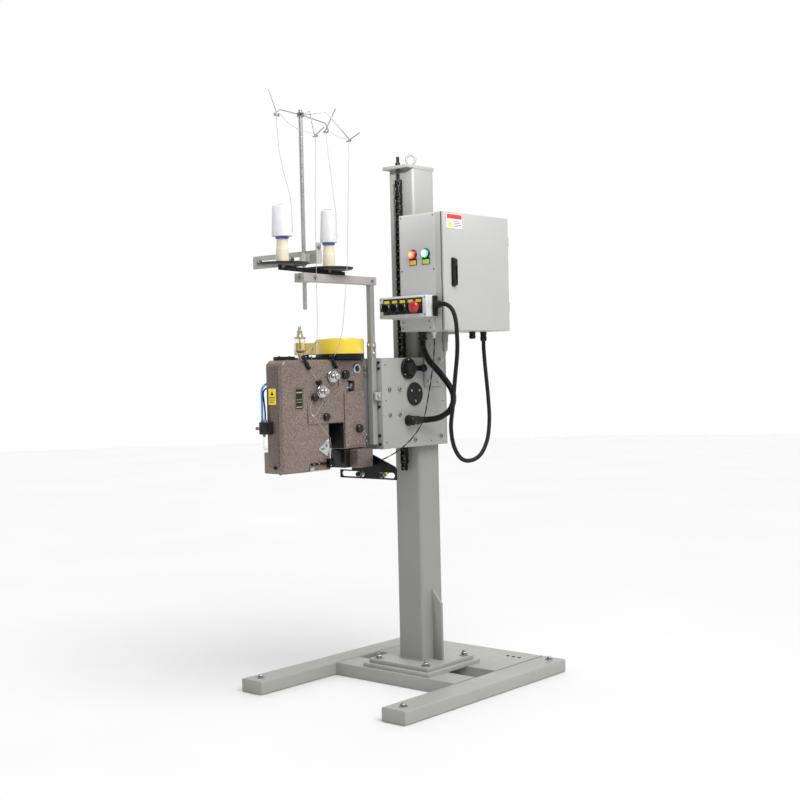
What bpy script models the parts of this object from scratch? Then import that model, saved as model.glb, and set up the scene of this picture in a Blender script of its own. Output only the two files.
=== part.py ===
"""Bag closing sewing machine on a floor column: a lifting carriage carries the sewing head,
the thread stand, the switch cabinet and the control box. Metres, +Z up. The origin is on the floor
under the column's centre. -Y is the operator's side, +X is the side that the bags pass."""
import bpy
import bmesh
from math import cos, sin, pi, radians, degrees, atan2, acos
from mathutils import Vector, Matrix

GAP = 0.0003                       # clearance kept between pieces that touch

# ---- base ----
BASE_HALF_WIDTH = 0.326
LEG_WIDTH = 0.086
BASE_FRONT, BASE_BACK = -0.461, 0.317
BASE_HEIGHT = 0.040
DECK_FRONT = -0.136
GAP_FRONT, GAP_BACK = -0.036, 0.063
FOOT_PLATE = (0.264, 0.254, 0.012)
FLANGE_PLATE = (0.238, 0.229, 0.012)

# ---- column, chain and its top fittings ----
COLUMN = 0.100
COLUMN_WALL = 0.005
COLUMN_TOP = 1.5777
TOP_PLATE_THICKNESS = 0.010
CHAIN_Y = -0.062
CHAIN_PITCH = 0.01905
CHAIN_LINKS = 46
ROD_RADIUS = 0.005

# ---- carriage ----
CARRIAGE_LOW, CARRIAGE_HIGH = 0.730, 0.9985
PLATE = 0.008
SIDE_INNER = 0.067
CARRIAGE_FRONT, CARRIAGE_BACK = -0.246, 0.0595
SPROCKET_TEETH = 11
SPROCKET_Z = 0.889
SPROCKET_RADIUS = CHAIN_PITCH / (2 * sin(pi / SPROCKET_TEETH))
SPROCKET_Y = CHAIN_Y - SPROCKET_RADIUS
CHAIN_TOP = SPROCKET_Z + 34 * CHAIN_PITCH      # a pin lies level with the sprocket's centre
ROLLER_RADIUS = 0.028
ROLLER_Y = -COLUMN / 2 - GAP - ROLLER_RADIUS
ROLLER_HEIGHTS = {"guide_roller_upper": 0.965, "guide_roller_lower": 0.765}
LOCK_Y, LOCK_Z = -0.1246, 0.9660
LOCK_KNOB_Y = -0.080

# ---- sewing head ----
HEAD_FACE = 0.045
HEAD_BACK = -0.022
HEAD_LEFT, HEAD_RIGHT = -0.617, -0.287
HEAD_LOW, HEAD_TOP = 0.682, 0.996
THROAT_LEFT, THROAT_RIGHT, THROAT_TOP = -0.437, -0.3755, 0.8145
PULLEY_X, PULLEY_Y = 0.010, -0.350
MOTOR_X, MOTOR_Y = -0.115, -0.360
PULLEY_LOW, PULLEY_HIGH = 1.0150, 1.0350
HEAD_PULLEY_RADIUS, MOTOR_PULLEY_RADIUS = 0.055, 0.022
GROOVE_DEPTH = 0.006
NEEDLE_X, NEEDLE_Z = 0.015, 0.752
PRESSER_Z = 0.703
TENSIONS = {"tension_unit_upper": (-0.426, 0.948), "tension_unit_lower": (-0.471, 0.906)}

# ---- thread stand ----
POST_X, POST_Y = 0.042, -0.520
POST_RADIUS = 0.006
POST_LOW, POST_TOP = 1.136, 1.690
ARM_LOW, ARM_HIGH = 1.212, 1.236
BAR_ANGLE = radians(11)            # the tray bar is turned about the post
CONE_SPACING = 0.115
TRAY_RADIUS = 0.069
TRAY_LOW, TRAY_HIGH = 1.2513, 1.2580
BAR_HEIGHT = 0.0125
CONE_LOW = 1.3290
CONES = {"left": (0.0280, 0.0245, 1.4130), "right": (0.0240, 0.0200, 1.4210)}   # low and top radius, top
THREAD = 0.0015
HUB_Z = 1.676
WIRE_RADIUS = 0.0015
EYE_RADIUS = 0.007

# ---- switch cabinet ----
CAB_BACK, CAB_FRONT = 0.0716, 0.2290
CAB_LEFT, CAB_RIGHT = -0.145, 0.1745
CAB_LOW, CAB_TOP = 1.075, 1.4215
SHEET = 0.003
DOOR_IN, DOOR_OUT = 0.2315, 0.2395
HINGE_X, HINGE_Y = 0.2290, 0.1815
LATCH_Y, LATCH_Z = -0.100, 1.246

# ---- control box ----
BOX_X = (0.027, 0.211)
BOX_Y = (-0.193, -0.1503)
BOX_Z = (1.1145, 1.1785)
SWITCH_X = 0.059
SWITCH_PITCH = 0.0305
SWITCH_Z = 1.1440
CABLE_Y = -0.165


# ---------------------------------------------------------------- helpers

def clear_scene():
    for obj in list(bpy.data.objects):
        bpy.data.objects.remove(obj)


def material(name, colour, roughness, metallic=0.0):
    mat = bpy.data.materials.new(name)
    mat.use_nodes = True
    shader = mat.node_tree.nodes["Principled BSDF"]
    shader.inputs["Base Color"].default_value = (*colour, 1.0)
    shader.inputs["Roughness"].default_value = roughness
    shader.inputs["Metallic"].default_value = metallic
    mat.diffuse_color = (*colour, 1.0)
    return mat


def make(name, bm, mat, pivot=(0.0, 0.0, 0.0), smooth=None):
    """Turns a closed bmesh in world coordinates into a named object whose origin is at pivot."""
    bmesh.ops.remove_doubles(bm, verts=bm.verts, dist=1e-6)
    bmesh.ops.recalc_face_normals(bm, faces=bm.faces)
    bmesh.ops.translate(bm, verts=bm.verts, vec=-Vector(pivot))
    mesh = bpy.data.meshes.new(name)
    bm.to_mesh(mesh)
    bm.free()
    obj = bpy.data.objects.new(name, mesh)
    obj.location = pivot
    bpy.context.scene.collection.objects.link(obj)
    mesh.materials.append(mat)
    if smooth is not None:
        mesh.shade_smooth()
        mesh.set_sharp_from_angle(angle=radians(smooth))
    return obj


def bevel(bm, width, segments=1, min_angle=40, axis=None):
    """Rounds the sharp edges, or only those that run along one axis."""
    edges = []
    for edge in bm.edges:
        if len(edge.link_faces) != 2 or degrees(edge.calc_face_angle()) < min_angle:
            continue
        if axis is not None:
            along = (edge.verts[1].co - edge.verts[0].co).normalized()
            if abs(along[axis]) < 0.99:
                continue
        edges.append(edge)
    bmesh.ops.bevel(bm, geom=edges, offset=width, segments=segments, profile=0.5, affect="EDGES")


def block(low, high):
    bm = bmesh.new()
    bmesh.ops.create_cube(bm, size=1.0)
    low, high = Vector(low), Vector(high)
    for vert in bm.verts:
        vert.co = Vector([(low[i] + high[i]) / 2 + vert.co[i] * (high[i] - low[i]) for i in range(3)])
    return bm


def prism(outline, axis, low, high):
    """An outline of two-coordinate points, pushed along the axis from low to high. The points hold
    the two other coordinates in X, Y, Z order."""
    bm = bmesh.new()
    others = [i for i in range(3) if i != axis]

    def corner(point, level):
        co = [0.0, 0.0, 0.0]
        co[others[0]], co[others[1]] = point
        co[axis] = level
        return bm.verts.new(co)

    start = [corner(point, low) for point in outline]
    end = [corner(point, high) for point in outline]
    bm.faces.new(start)
    bm.faces.new(list(reversed(end)))
    count = len(outline)
    for i in range(count):
        bm.faces.new((start[i], end[i], end[(i + 1) % count], start[(i + 1) % count]))
    return bm


def turned(profile, axis, centre, sides, ring=False):
    """A turned piece. The profile holds (distance along the axis, radius) pairs, measured from the
    centre. A ring profile closes on itself and leaves a hole along the axis."""
    bm = bmesh.new()
    others = [i for i in range(3) if i != axis]
    loops = []
    for along, radius in profile:
        loop = []
        for k in range(sides):
            angle = 2 * pi * k / sides
            co = [0.0, 0.0, 0.0]
            co[axis] = centre[axis] + along
            co[others[0]] = centre[others[0]] + radius * cos(angle)
            co[others[1]] = centre[others[1]] + radius * sin(angle)
            loop.append(bm.verts.new(co))
        loops.append(loop)
    pairs = list(zip(loops, loops[1:]))
    if ring:
        pairs.append((loops[-1], loops[0]))
    for first, second in pairs:
        for k in range(sides):
            n = (k + 1) % sides
            bm.faces.new((first[k], first[n], second[n], second[k]))
    if not ring:
        bm.faces.new(loops[0])
        bm.faces.new(loops[-1])
    return bm


def rounded(points, radius, steps=3):
    """Rounds each corner of an outline with an arc."""
    result = []
    count = len(points)
    for i in range(count):
        here = Vector(points[i])
        before = (Vector(points[i - 1]) - here).normalized()
        after = (Vector(points[(i + 1) % count]) - here).normalized()
        half = acos(max(-1.0, min(1.0, before.dot(after)))) / 2
        reach = radius / max(0.01, sin(half) / cos(half))
        centre = here + (before + after).normalized() * radius / sin(half)
        first, last = here + before * reach - centre, here + after * reach - centre
        sweep = atan2(first.x * last.y - first.y * last.x, first.dot(last))
        for k in range(steps + 1):
            angle = sweep * k / steps
            result.append((centre.x + first.x * cos(angle) - first.y * sin(angle),
                           centre.y + first.x * sin(angle) + first.y * cos(angle)))
    return result


def rectangle(low, high):
    return [(low[0], low[1]), (high[0], low[1]), (high[0], high[1]), (low[0], high[1])]


def slot_outline(low, high, centre, half_height, steps=6):
    """A long hole with round ends, from low to high along the first coordinate."""
    points = []
    for k in range(steps + 1):
        angle = -pi / 2 + pi * k / steps
        points.append((high - half_height + half_height * cos(angle), centre + half_height * sin(angle)))
    for k in range(steps + 1):
        angle = pi / 2 + pi * k / steps
        points.append((low + half_height + half_height * cos(angle), centre + half_height * sin(angle)))
    return points


def belt_outline(radius_a, radius_b, steps=10):
    """The line that runs round the two pulleys of the belt drive at these radii."""
    a, b = Vector((PULLEY_X, PULLEY_Y)), Vector((MOTOR_X, MOTOR_Y))
    way = b - a
    heading = atan2(way.y, way.x)
    open_angle = acos((radius_a - radius_b) / way.length)
    points = []
    for k in range(steps + 1):
        angle = heading + open_angle + (2 * pi - 2 * open_angle) * k / steps
        points.append((a.x + radius_a * cos(angle), a.y + radius_a * sin(angle)))
    for k in range(steps + 1):
        angle = heading - open_angle + 2 * open_angle * k / steps
        points.append((b.x + radius_b * cos(angle), b.y + radius_b * sin(angle)))
    return points


def smooth_route(route, count):
    """Points at even steps along a smooth curve through the route's points. The first and the last
    leg stay straight, so that the ends leave their fittings squarely."""
    knots = [Vector(point) for point in route]
    fine = []
    for i in range(1, len(knots) - 2):
        p0, p1, p2, p3 = knots[i - 1:i + 3]
        for k in range(24):
            t = k / 24
            fine.append(0.5 * (2 * p1 + (p2 - p0) * t + (2 * p0 - 5 * p1 + 4 * p2 - p3) * t * t
                               + (3 * p1 - p0 - 3 * p2 + p3) * t ** 3))
    fine.append(knots[-2])
    lengths = [0.0]
    for first, second in zip(fine, fine[1:]):
        lengths.append(lengths[-1] + (second - first).length)
    points = [knots[0]]
    place = 0
    for k in range(count):
        target = lengths[-1] * k / (count - 1)
        while place < len(fine) - 2 and lengths[place + 1] < target:
            place += 1
        span = lengths[place + 1] - lengths[place]
        points.append(fine[place].lerp(fine[place + 1], (target - lengths[place]) / span))
    points.append(knots[-1])
    return points


def cord(name, points, diameter, mat, resolution=2):
    curve = bpy.data.curves.new(name, "CURVE")
    curve.dimensions = "3D"
    curve.bevel_depth = diameter / 2
    curve.bevel_resolution = resolution
    curve.use_fill_caps = True
    curve.render_resolution_u = 0
    spline = curve.splines.new("POLY")
    spline.points.add(len(points) - 1)
    for slot, point in zip(spline.points, points):
        slot.co = (*point, 1.0)
    obj = bpy.data.objects.new(name, curve)
    bpy.context.scene.collection.objects.link(obj)
    curve.materials.append(mat)
    return obj


def wire(points, radius, sides=6):
    """A bent round wire with closed ends."""
    bm = bmesh.new()
    points = [Vector(point) for point in points]
    normal = None
    loops = []
    for i, point in enumerate(points):
        ahead = points[min(i + 1, len(points) - 1)] - points[max(i - 1, 0)]
        ahead.normalize()
        if normal is None:
            normal = ahead.orthogonal().normalized()
        normal = (normal - ahead * normal.dot(ahead)).normalized()
        side = ahead.cross(normal)
        turns = [2 * pi * k / sides for k in range(sides)]
        loops.append([bm.verts.new(point + radius * (normal * cos(turn) + side * sin(turn))) for turn in turns])
    for first, second in zip(loops, loops[1:]):
        for k in range(sides):
            n = (k + 1) % sides
            bm.faces.new((first[k], first[n], second[n], second[k]))
    bm.faces.new(loops[0])
    bm.faces.new(loops[-1])
    return bm


def split_long_faces(mesh):
    """Splits faces with many corners, which the next cut could otherwise tear."""
    bm = bmesh.new()
    bm.from_mesh(mesh)
    bmesh.ops.triangulate(bm, faces=[face for face in bm.faces if len(face.verts) > 4])
    bm.to_mesh(mesh)
    bm.free()


def combine(obj, tools, operation, split=True):
    """Unites the tools with the object, or cuts them from it, and applies the result."""
    for tool_bm in tools:
        tool = make("tool", tool_bm, obj.data.materials[0])
        modifier = obj.modifiers.new("combine", "BOOLEAN")
        modifier.operation = operation
        modifier.object = tool
        bpy.context.view_layer.update()
        evaluated = obj.evaluated_get(bpy.context.evaluated_depsgraph_get())
        mesh = bpy.data.meshes.new_from_object(evaluated)
        if split:
            split_long_faces(mesh)
        obj.modifiers.clear()
        obj.data = mesh
        bpy.data.objects.remove(tool)
    return obj


def place_on_bar(along, across=0.0):
    """A point on the tray bar: along it from its middle, and across it towards +X."""
    return (POST_X + 0.010 - sin(BAR_ANGLE) * along + cos(BAR_ANGLE) * across,
            POST_Y + cos(BAR_ANGLE) * along + sin(BAR_ANGLE) * across)


def turned_about_post(bm):
    """Turns a piece that was built along Y about the bar's middle by the bar's angle."""
    centre = Vector((*place_on_bar(0.0), 0.0))
    bmesh.ops.rotate(bm, verts=bm.verts, cent=centre, matrix=Matrix.Rotation(BAR_ANGLE, 3, "Z"))
    return bm


# ---------------------------------------------------------------- materials

def make_materials():
    return {
        "frame_paint": material("frame_paint", (0.62, 0.60, 0.55), 0.5),
        "cabinet_paint": material("cabinet_paint", (0.72, 0.71, 0.68), 0.5),
        "hammertone": material("hammertone", (0.28, 0.20, 0.16), 0.45, 0.2),
        "yellow_paint": material("yellow_paint", (0.80, 0.60, 0.04), 0.3),
        "steel": material("steel", (0.60, 0.60, 0.60), 0.35, 1.0),
        "stand_steel": material("stand_steel", (0.50, 0.48, 0.45), 0.4, 0.6),
        "chrome": material("chrome", (0.80, 0.80, 0.80), 0.12, 1.0),
        "brass": material("brass", (0.75, 0.60, 0.30), 0.3, 1.0),
        "black_steel": material("black_steel", (0.03, 0.03, 0.03), 0.45, 0.6),
        "black_plastic": material("black_plastic", (0.02, 0.02, 0.02), 0.45),
        "rubber": material("rubber", (0.02, 0.02, 0.022), 0.6),
        "motor_grey": material("motor_grey", (0.25, 0.27, 0.28), 0.5, 0.3),
        "red_plastic": material("red_plastic", (0.70, 0.03, 0.03), 0.35),
        "box_plastic": material("box_plastic", (0.66, 0.67, 0.69), 0.5),
        "white_thread": material("white_thread", (0.90, 0.90, 0.92), 0.8),
    }


# ---------------------------------------------------------------- base and column

def make_base(mats):
    paint = mats["frame_paint"]
    inner = BASE_HALF_WIDTH - LEG_WIDTH
    for name, side in (("base_left_leg", -1), ("base_right_leg", 1)):
        ends = sorted((side * inner, side * BASE_HALF_WIDTH))
        bm = block((ends[0], BASE_FRONT, 0.0), (ends[1], BASE_BACK, BASE_HEIGHT))
        bevel(bm, 0.004, 2, axis=1)
        make(name, bm, paint, smooth=30)
    # front cross beam, centre tie and rear deck, welded into one piece with the foot plate on top
    reach = inner - GAP
    tie = 0.060
    outline = [(-reach, DECK_FRONT), (reach, DECK_FRONT), (reach, GAP_FRONT), (tie, GAP_FRONT),
               (tie, GAP_BACK), (reach, GAP_BACK), (reach, BASE_BACK), (-reach, BASE_BACK),
               (-reach, GAP_BACK), (-tie, GAP_BACK), (-tie, GAP_FRONT), (-reach, GAP_FRONT)]
    deck = make("base_deck", prism(outline, 2, 0.0, BASE_HEIGHT), paint)
    half_x, half_y, thick = FOOT_PLATE[0] / 2, FOOT_PLATE[1] / 2, FOOT_PLATE[2]
    foot = block((-half_x, -half_y, BASE_HEIGHT - 0.002), (half_x, half_y, BASE_HEIGHT + thick))
    combine(deck, [foot], "UNION")


def make_column(mats):
    paint = mats["frame_paint"]
    low = BASE_HEIGHT + FOOT_PLATE[2] + GAP
    half_x, half_y, thick = FLANGE_PLATE[0] / 2, FLANGE_PLATE[1] / 2, FLANGE_PLATE[2]
    bm = block((-half_x, -half_y, low), (half_x, half_y, low + thick))
    bevel(bm, 0.0015, axis=2)
    make("column_flange", bm, paint)
    foot = low + thick + GAP
    half = COLUMN / 2
    outer = rounded(rectangle((-half, -half), (half, half)), 0.010, 4)
    column = make("column", prism(outer, 2, foot, COLUMN_TOP), paint)
    inside = half - COLUMN_WALL
    hollow = rounded(rectangle((-inside, -inside), (inside, inside)), 0.005, 2)
    combine(column, [prism(hollow, 2, foot - 0.01, COLUMN_TOP + 0.01)], "DIFFERENCE")
    fin = [(half - 0.002, foot), (half + 0.036, foot), (half + 0.036, foot + 0.190),
           (half + 0.010, foot + 0.215),
           (half - 0.002, foot + 0.215)]
    combine(column, [prism(fin, 1, -0.006, 0.006)], "UNION")
    # top plate, welded on, with a hole for the chain's anchor rod
    plate_high = COLUMN_TOP + TOP_PLATE_THICKNESS
    plate = block((-half - 0.001, -0.0775, COLUMN_TOP - 0.0005), (half + 0.001, half + 0.001, plate_high))
    bevel(plate, 0.002, axis=2)
    combine(column, [plate], "UNION")
    hole = turned([(-0.01, ROD_RADIUS + GAP), (0.02, ROD_RADIUS + GAP)], 2, (0, CHAIN_Y, COLUMN_TOP), 12)
    combine(column, [hole], "DIFFERENCE")
    column.data.shade_smooth()
    column.data.set_sharp_from_angle(angle=radians(30))
    make_lifting_eye(paint, plate_high + GAP)
    make_chain(mats, plate_high + GAP)


def make_lifting_eye(paint, low):
    """A ring on a collar, turned about Z as it happens to stop when it is screwed home."""
    ring_radius, stock = 0.014, 0.004
    centre = Vector((0.0, 0.0, low + 0.008 + ring_radius + stock))
    bm = bmesh.new()
    turns, sides = 16, 6
    heading = Matrix.Rotation(radians(41), 3, "Z")
    loops = []
    for i in range(turns):
        angle = 2 * pi * i / turns
        out = heading @ Vector((cos(angle), 0.0, sin(angle)))
        across = heading @ Vector((0.0, 1.0, 0.0))
        loops.append([bm.verts.new(centre + out * (ring_radius + stock * cos(2 * pi * k / sides))
                                   + across * stock * sin(2 * pi * k / sides)) for k in range(sides)])
    for i in range(turns):
        first, second = loops[i], loops[(i + 1) % turns]
        for k in range(sides):
            n = (k + 1) % sides
            bm.faces.new((first[k], first[n], second[n], second[k]))
    eye = make("lifting_eye", bm, paint)
    collar = turned([(0.0, 0.010), (0.004, 0.010), (0.010, 0.005)], 2, (0, 0, low), 16)
    combine(eye, [collar], "UNION")
    eye.data.shade_smooth()
    eye.data.set_sharp_from_angle(angle=radians(50))


def make_chain(mats, nut_low):
    rod_low = CHAIN_TOP + 0.009 + GAP
    rod = make("chain_anchor_rod", turned([(rod_low, ROD_RADIUS), (nut_low + 0.028, ROD_RADIUS)],
                                          2, (0, CHAIN_Y, 0), 12), mats["black_steel"])
    washer = turned([(nut_low, 0.009), (nut_low + 0.002, 0.009)], 2, (0, CHAIN_Y, 0), 12)
    nut = turned([(nut_low + 0.0015, 0.0085), (nut_low + 0.010, 0.0085)], 2, (0, CHAIN_Y, 0), 6)
    combine(rod, [washer, nut], "UNION")
    # two scalloped runs of link plates, joined by a roller at each pin
    waist, bulge = 0.0062, 0.0090
    chain = None
    for side in (-1, 1):
        front = [(CHAIN_Y - waist, CHAIN_TOP + waist)]
        back = [(CHAIN_Y + waist, CHAIN_TOP + waist)]
        for link in range(CHAIN_LINKS + 1):
            z = CHAIN_TOP - link * CHAIN_PITCH
            for offset, reach in ((0.0, bulge), (-CHAIN_PITCH / 2, waist)):
                if link == CHAIN_LINKS and offset < 0:
                    continue
                front.append((CHAIN_Y - reach, z + offset))
                back.append((CHAIN_Y + reach, z + offset))
        front.append((CHAIN_Y - waist, CHAIN_TOP - CHAIN_LINKS * CHAIN_PITCH - waist))
        back.append((CHAIN_Y + waist, CHAIN_TOP - CHAIN_LINKS * CHAIN_PITCH - waist))
        inner, outer = sorted((side * 0.0063, side * 0.0111))
        run = prism(front + back[::-1], 0, inner, outer)
        if chain is None:
            chain = make("lift_chain", run, mats["black_steel"])
        else:
            rollers = bmesh.new()
            for link in range(CHAIN_LINKS + 1):
                z = CHAIN_TOP - link * CHAIN_PITCH
                part = turned([(-0.0075, 0.0058), (0.0075, 0.0058)], 0, (0, CHAIN_Y, z), 6)
                mesh = bpy.data.meshes.new("roller")
                part.to_mesh(mesh)
                part.free()
                rollers.from_mesh(mesh)
                bpy.data.meshes.remove(mesh)
            combine(chain, [rollers, run], "UNION")


# ---------------------------------------------------------------- carriage

def make_carriage(mats):
    paint = mats["frame_paint"]
    outer = SIDE_INNER + PLATE
    front, back = CARRIAGE_FRONT, CARRIAGE_BACK
    # folded channel: front plate, left plate and rear keeper
    outline = [(-outer, front), (outer + 0.004, front), (outer + 0.004, front + PLATE - GAP),
               (-SIDE_INNER, front + PLATE - GAP), (-SIDE_INNER, back - PLATE), (outer, back - PLATE),
               (outer, back), (-outer, back)]
    channel = make("carriage_channel", prism(outline, 2, CARRIAGE_LOW, CARRIAGE_HIGH), paint)
    shaft = (0.0, SPROCKET_Y, SPROCKET_Z)
    bore = turned([(-outer - 0.01, 0.012), (-SIDE_INNER + 0.01, 0.012)], 0, shaft, 16)
    combine(channel, [bore], "DIFFERENCE")
    # right side plate, with the tab of the stand's lock pin
    y0, y1 = front + PLATE, back - PLATE - GAP
    outline = rounded([(y0, CARRIAGE_LOW), (y1, CARRIAGE_LOW), (y1, CARRIAGE_HIGH), (y0, CARRIAGE_HIGH)],
                      0.001, 1)
    side = make("carriage_side_plate", prism(outline, 0, SIDE_INNER, outer), paint)
    bore = turned([(SIDE_INNER - 0.01, 0.012), (outer + 0.01, 0.012)], 0, shaft, 16)
    combine(side, [bore], "DIFFERENCE")
    # bearing covers and the column lock
    face = outer + GAP
    cover = turned([(0.0, 0.035), (0.004, 0.035), (0.0055, 0.0335)], 0, (face, SPROCKET_Y, SPROCKET_Z), 24)
    make("drive_cover", cover, mats["black_plastic"], smooth=40)
    profile = [(0.0, 0.032), (0.007, 0.032), (0.009, 0.030), (0.009, 0.022), (0.020, 0.020)]
    lock = make("column_lock", turned(profile, 0, (face, LOCK_Y, LOCK_Z), 20), mats["black_plastic"])
    arm = block((face + 0.001, LOCK_Y, LOCK_Z - 0.009), (face + 0.018, LOCK_KNOB_Y + 0.006, LOCK_Z + 0.009))
    bevel(arm, 0.003)
    combine(lock, [arm], "UNION")
    knob_low = face + 0.018 + GAP
    knob = turned([(0.0, 0.0095), (0.003, 0.0120), (0.012, 0.0120), (0.014, 0.0100), (0.014, 0.0070),
                   (0.011, 0.0060)], 0, (knob_low, LOCK_KNOB_Y, LOCK_Z), 14)
    make("lock_knob", knob, mats["black_plastic"], (knob_low, LOCK_KNOB_Y, LOCK_Z), smooth=40)
    make_lift(mats)
    make_cabinet_bracket(mats, face)
    # elbow of the head's conduit
    elbow = turned([(0.0, 0.0165), (0.006, 0.0165), (0.008, 0.0140), (0.026, 0.0140), (0.029, 0.0110)],
                   0, (face, -0.128, 0.810), 14)
    elbow = make("conduit_elbow", elbow, mats["black_plastic"], smooth=40)
    branch = turned([(0.0, 0.0125), (0.030, 0.0125)], 1, (face + 0.017, -0.128, 0.810), 16)
    combine(elbow, [branch], "UNION")


def make_lift(mats):
    for name, height in ROLLER_HEIGHTS.items():
        half = SIDE_INNER - 2 * GAP
        profile = [(-half, 0.006), (-0.046, 0.006), (-0.046, ROLLER_RADIUS), (-0.018, ROLLER_RADIUS),
                   (-0.018, 0.006),
                   (0.018, 0.006), (0.018, ROLLER_RADIUS), (0.046, ROLLER_RADIUS), (0.046, 0.006),
                   (half, 0.006)]
        centre = (0.0, ROLLER_Y, height)
        make(name, turned(profile, 0, centre, 16), mats["steel"], centre, smooth=40)
    # tooth gaps of the drive sprocket: (radius, angle either side of the gap's centre)
    gap_points = [(0.0276, 4.0), (0.0305, 9.6), (0.0345, 11.2), (0.0368, 12.2)]
    outline = []
    for tooth in range(SPROCKET_TEETH):
        middle = 360.0 * tooth / SPROCKET_TEETH
        for radius, angle in gap_points[::-1]:
            turn = radians(middle - angle)
            outline.append((SPROCKET_Y + radius * cos(turn), SPROCKET_Z + radius * sin(turn)))
        for radius, angle in gap_points:
            turn = radians(middle + angle)
            outline.append((SPROCKET_Y + radius * cos(turn), SPROCKET_Z + radius * sin(turn)))
    centre = (0.0, SPROCKET_Y, SPROCKET_Z)
    sprocket = make("lift_sprocket", prism(outline, 0, -0.0055, 0.0055), mats["steel"], centre)
    end = SIDE_INNER + PLATE - GAP
    shaft = turned([(-end, 0.0105), (-0.030, 0.0105), (-0.030, 0.0170), (0.030, 0.0170), (0.030, 0.0105),
                    (end, 0.0105)], 0, centre, 16)
    combine(sprocket, [shaft], "UNION")
    # geared lift motor on the left side plate
    start = -SIDE_INNER - PLATE - GAP
    gear = block((start - 0.080, SPROCKET_Y - 0.055, SPROCKET_Z - 0.055),
                 (start, SPROCKET_Y + 0.055, SPROCKET_Z + 0.055))
    bevel(gear, 0.010, 2)
    motor = make("lift_gearmotor", gear, mats["motor_grey"])
    can = turned([(0.0, 0.045), (-0.010, 0.050), (-0.120, 0.050), (-0.122, 0.053), (-0.146, 0.053),
                  (-0.150, 0.048)],
                 0, (start - 0.079, SPROCKET_Y, SPROCKET_Z), 16)
    combine(motor, [can], "UNION")
    motor.data.shade_smooth()
    motor.data.set_sharp_from_angle(angle=radians(35))


def make_cabinet_bracket(mats, face):
    """Tapered plate bolted to the carriage, with a shelf that the cabinet stands on."""
    thick = 0.006
    shelf_top = CAB_LOW - GAP
    outline = [(-0.050, 0.910), (0.026, 0.910), (0.030, 0.915), (0.070, shelf_top), (-0.050, shelf_top)]
    bracket = make("cabinet_bracket", prism(outline, 0, face, face + thick), mats["frame_paint"])
    shelf = block((face + 0.001, -0.040, shelf_top - thick), (face + 0.040, 0.065, shelf_top))
    combine(bracket, [shelf], "UNION")


# ---------------------------------------------------------------- sewing head

def make_head(mats):
    brown = mats["hammertone"]
    outline = [(HEAD_LEFT, HEAD_LOW), (THROAT_LEFT, HEAD_LOW), (THROAT_LEFT, THROAT_TOP),
               (THROAT_RIGHT, THROAT_TOP), (THROAT_RIGHT, HEAD_LOW + 0.055), (HEAD_RIGHT, HEAD_LOW + 0.055),
               (HEAD_RIGHT, HEAD_TOP), (HEAD_LEFT + 0.012, HEAD_TOP), (HEAD_LEFT, HEAD_TOP - 0.012)]
    bm = prism(outline, 0, HEAD_BACK, HEAD_FACE)
    bevel(bm, 0.003, 2)
    casting = make("head_casting", bm, brown)
    heel = block((HEAD_BACK - 0.015, HEAD_LEFT + 0.0005, HEAD_LOW + 0.0005),
                 (HEAD_BACK + 0.005, -0.500, HEAD_LOW + 0.060))
    combine(casting, [heel], "UNION")
    bore = turned([(-0.575, 0.0055), (THROAT_LEFT + 0.010, 0.0055)], 1, (NEEDLE_X, 0, NEEDLE_Z), 12)
    well = turned([(HEAD_TOP - 0.020, 0.0095), (HEAD_TOP + 0.010, 0.0095)], 2, (PULLEY_X, PULLEY_Y, 0), 16)
    combine(casting, [bore, well], "DIFFERENCE")
    casting.data.shade_smooth()
    casting.data.set_sharp_from_angle(angle=radians(30))

    # feed housing below the arm: a box that stands out in front of the face
    outline = rounded(rectangle((0.010, -0.352), (0.079, HEAD_RIGHT)), 0.010, 4)
    bm = prism(outline, 2, HEAD_LOW + 0.001, HEAD_LOW + 0.055 - GAP)
    housing = make("feed_housing", bm, brown, smooth=30)
    cover = block((-0.015, THROAT_RIGHT + 0.001, HEAD_LOW + 0.0015), (0.043, -0.351, HEAD_LOW + 0.0545))
    combine(housing, [cover], "UNION")

    block_back = CARRIAGE_FRONT - GAP
    bm = block((-0.020, HEAD_RIGHT + GAP, 0.745), (0.0425, block_back, 0.990))
    bevel(bm, 0.001)
    make("head_mount_block", bm, mats["motor_grey"])
    make_belt_drive(mats)
    make_head_trim(mats)


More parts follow.
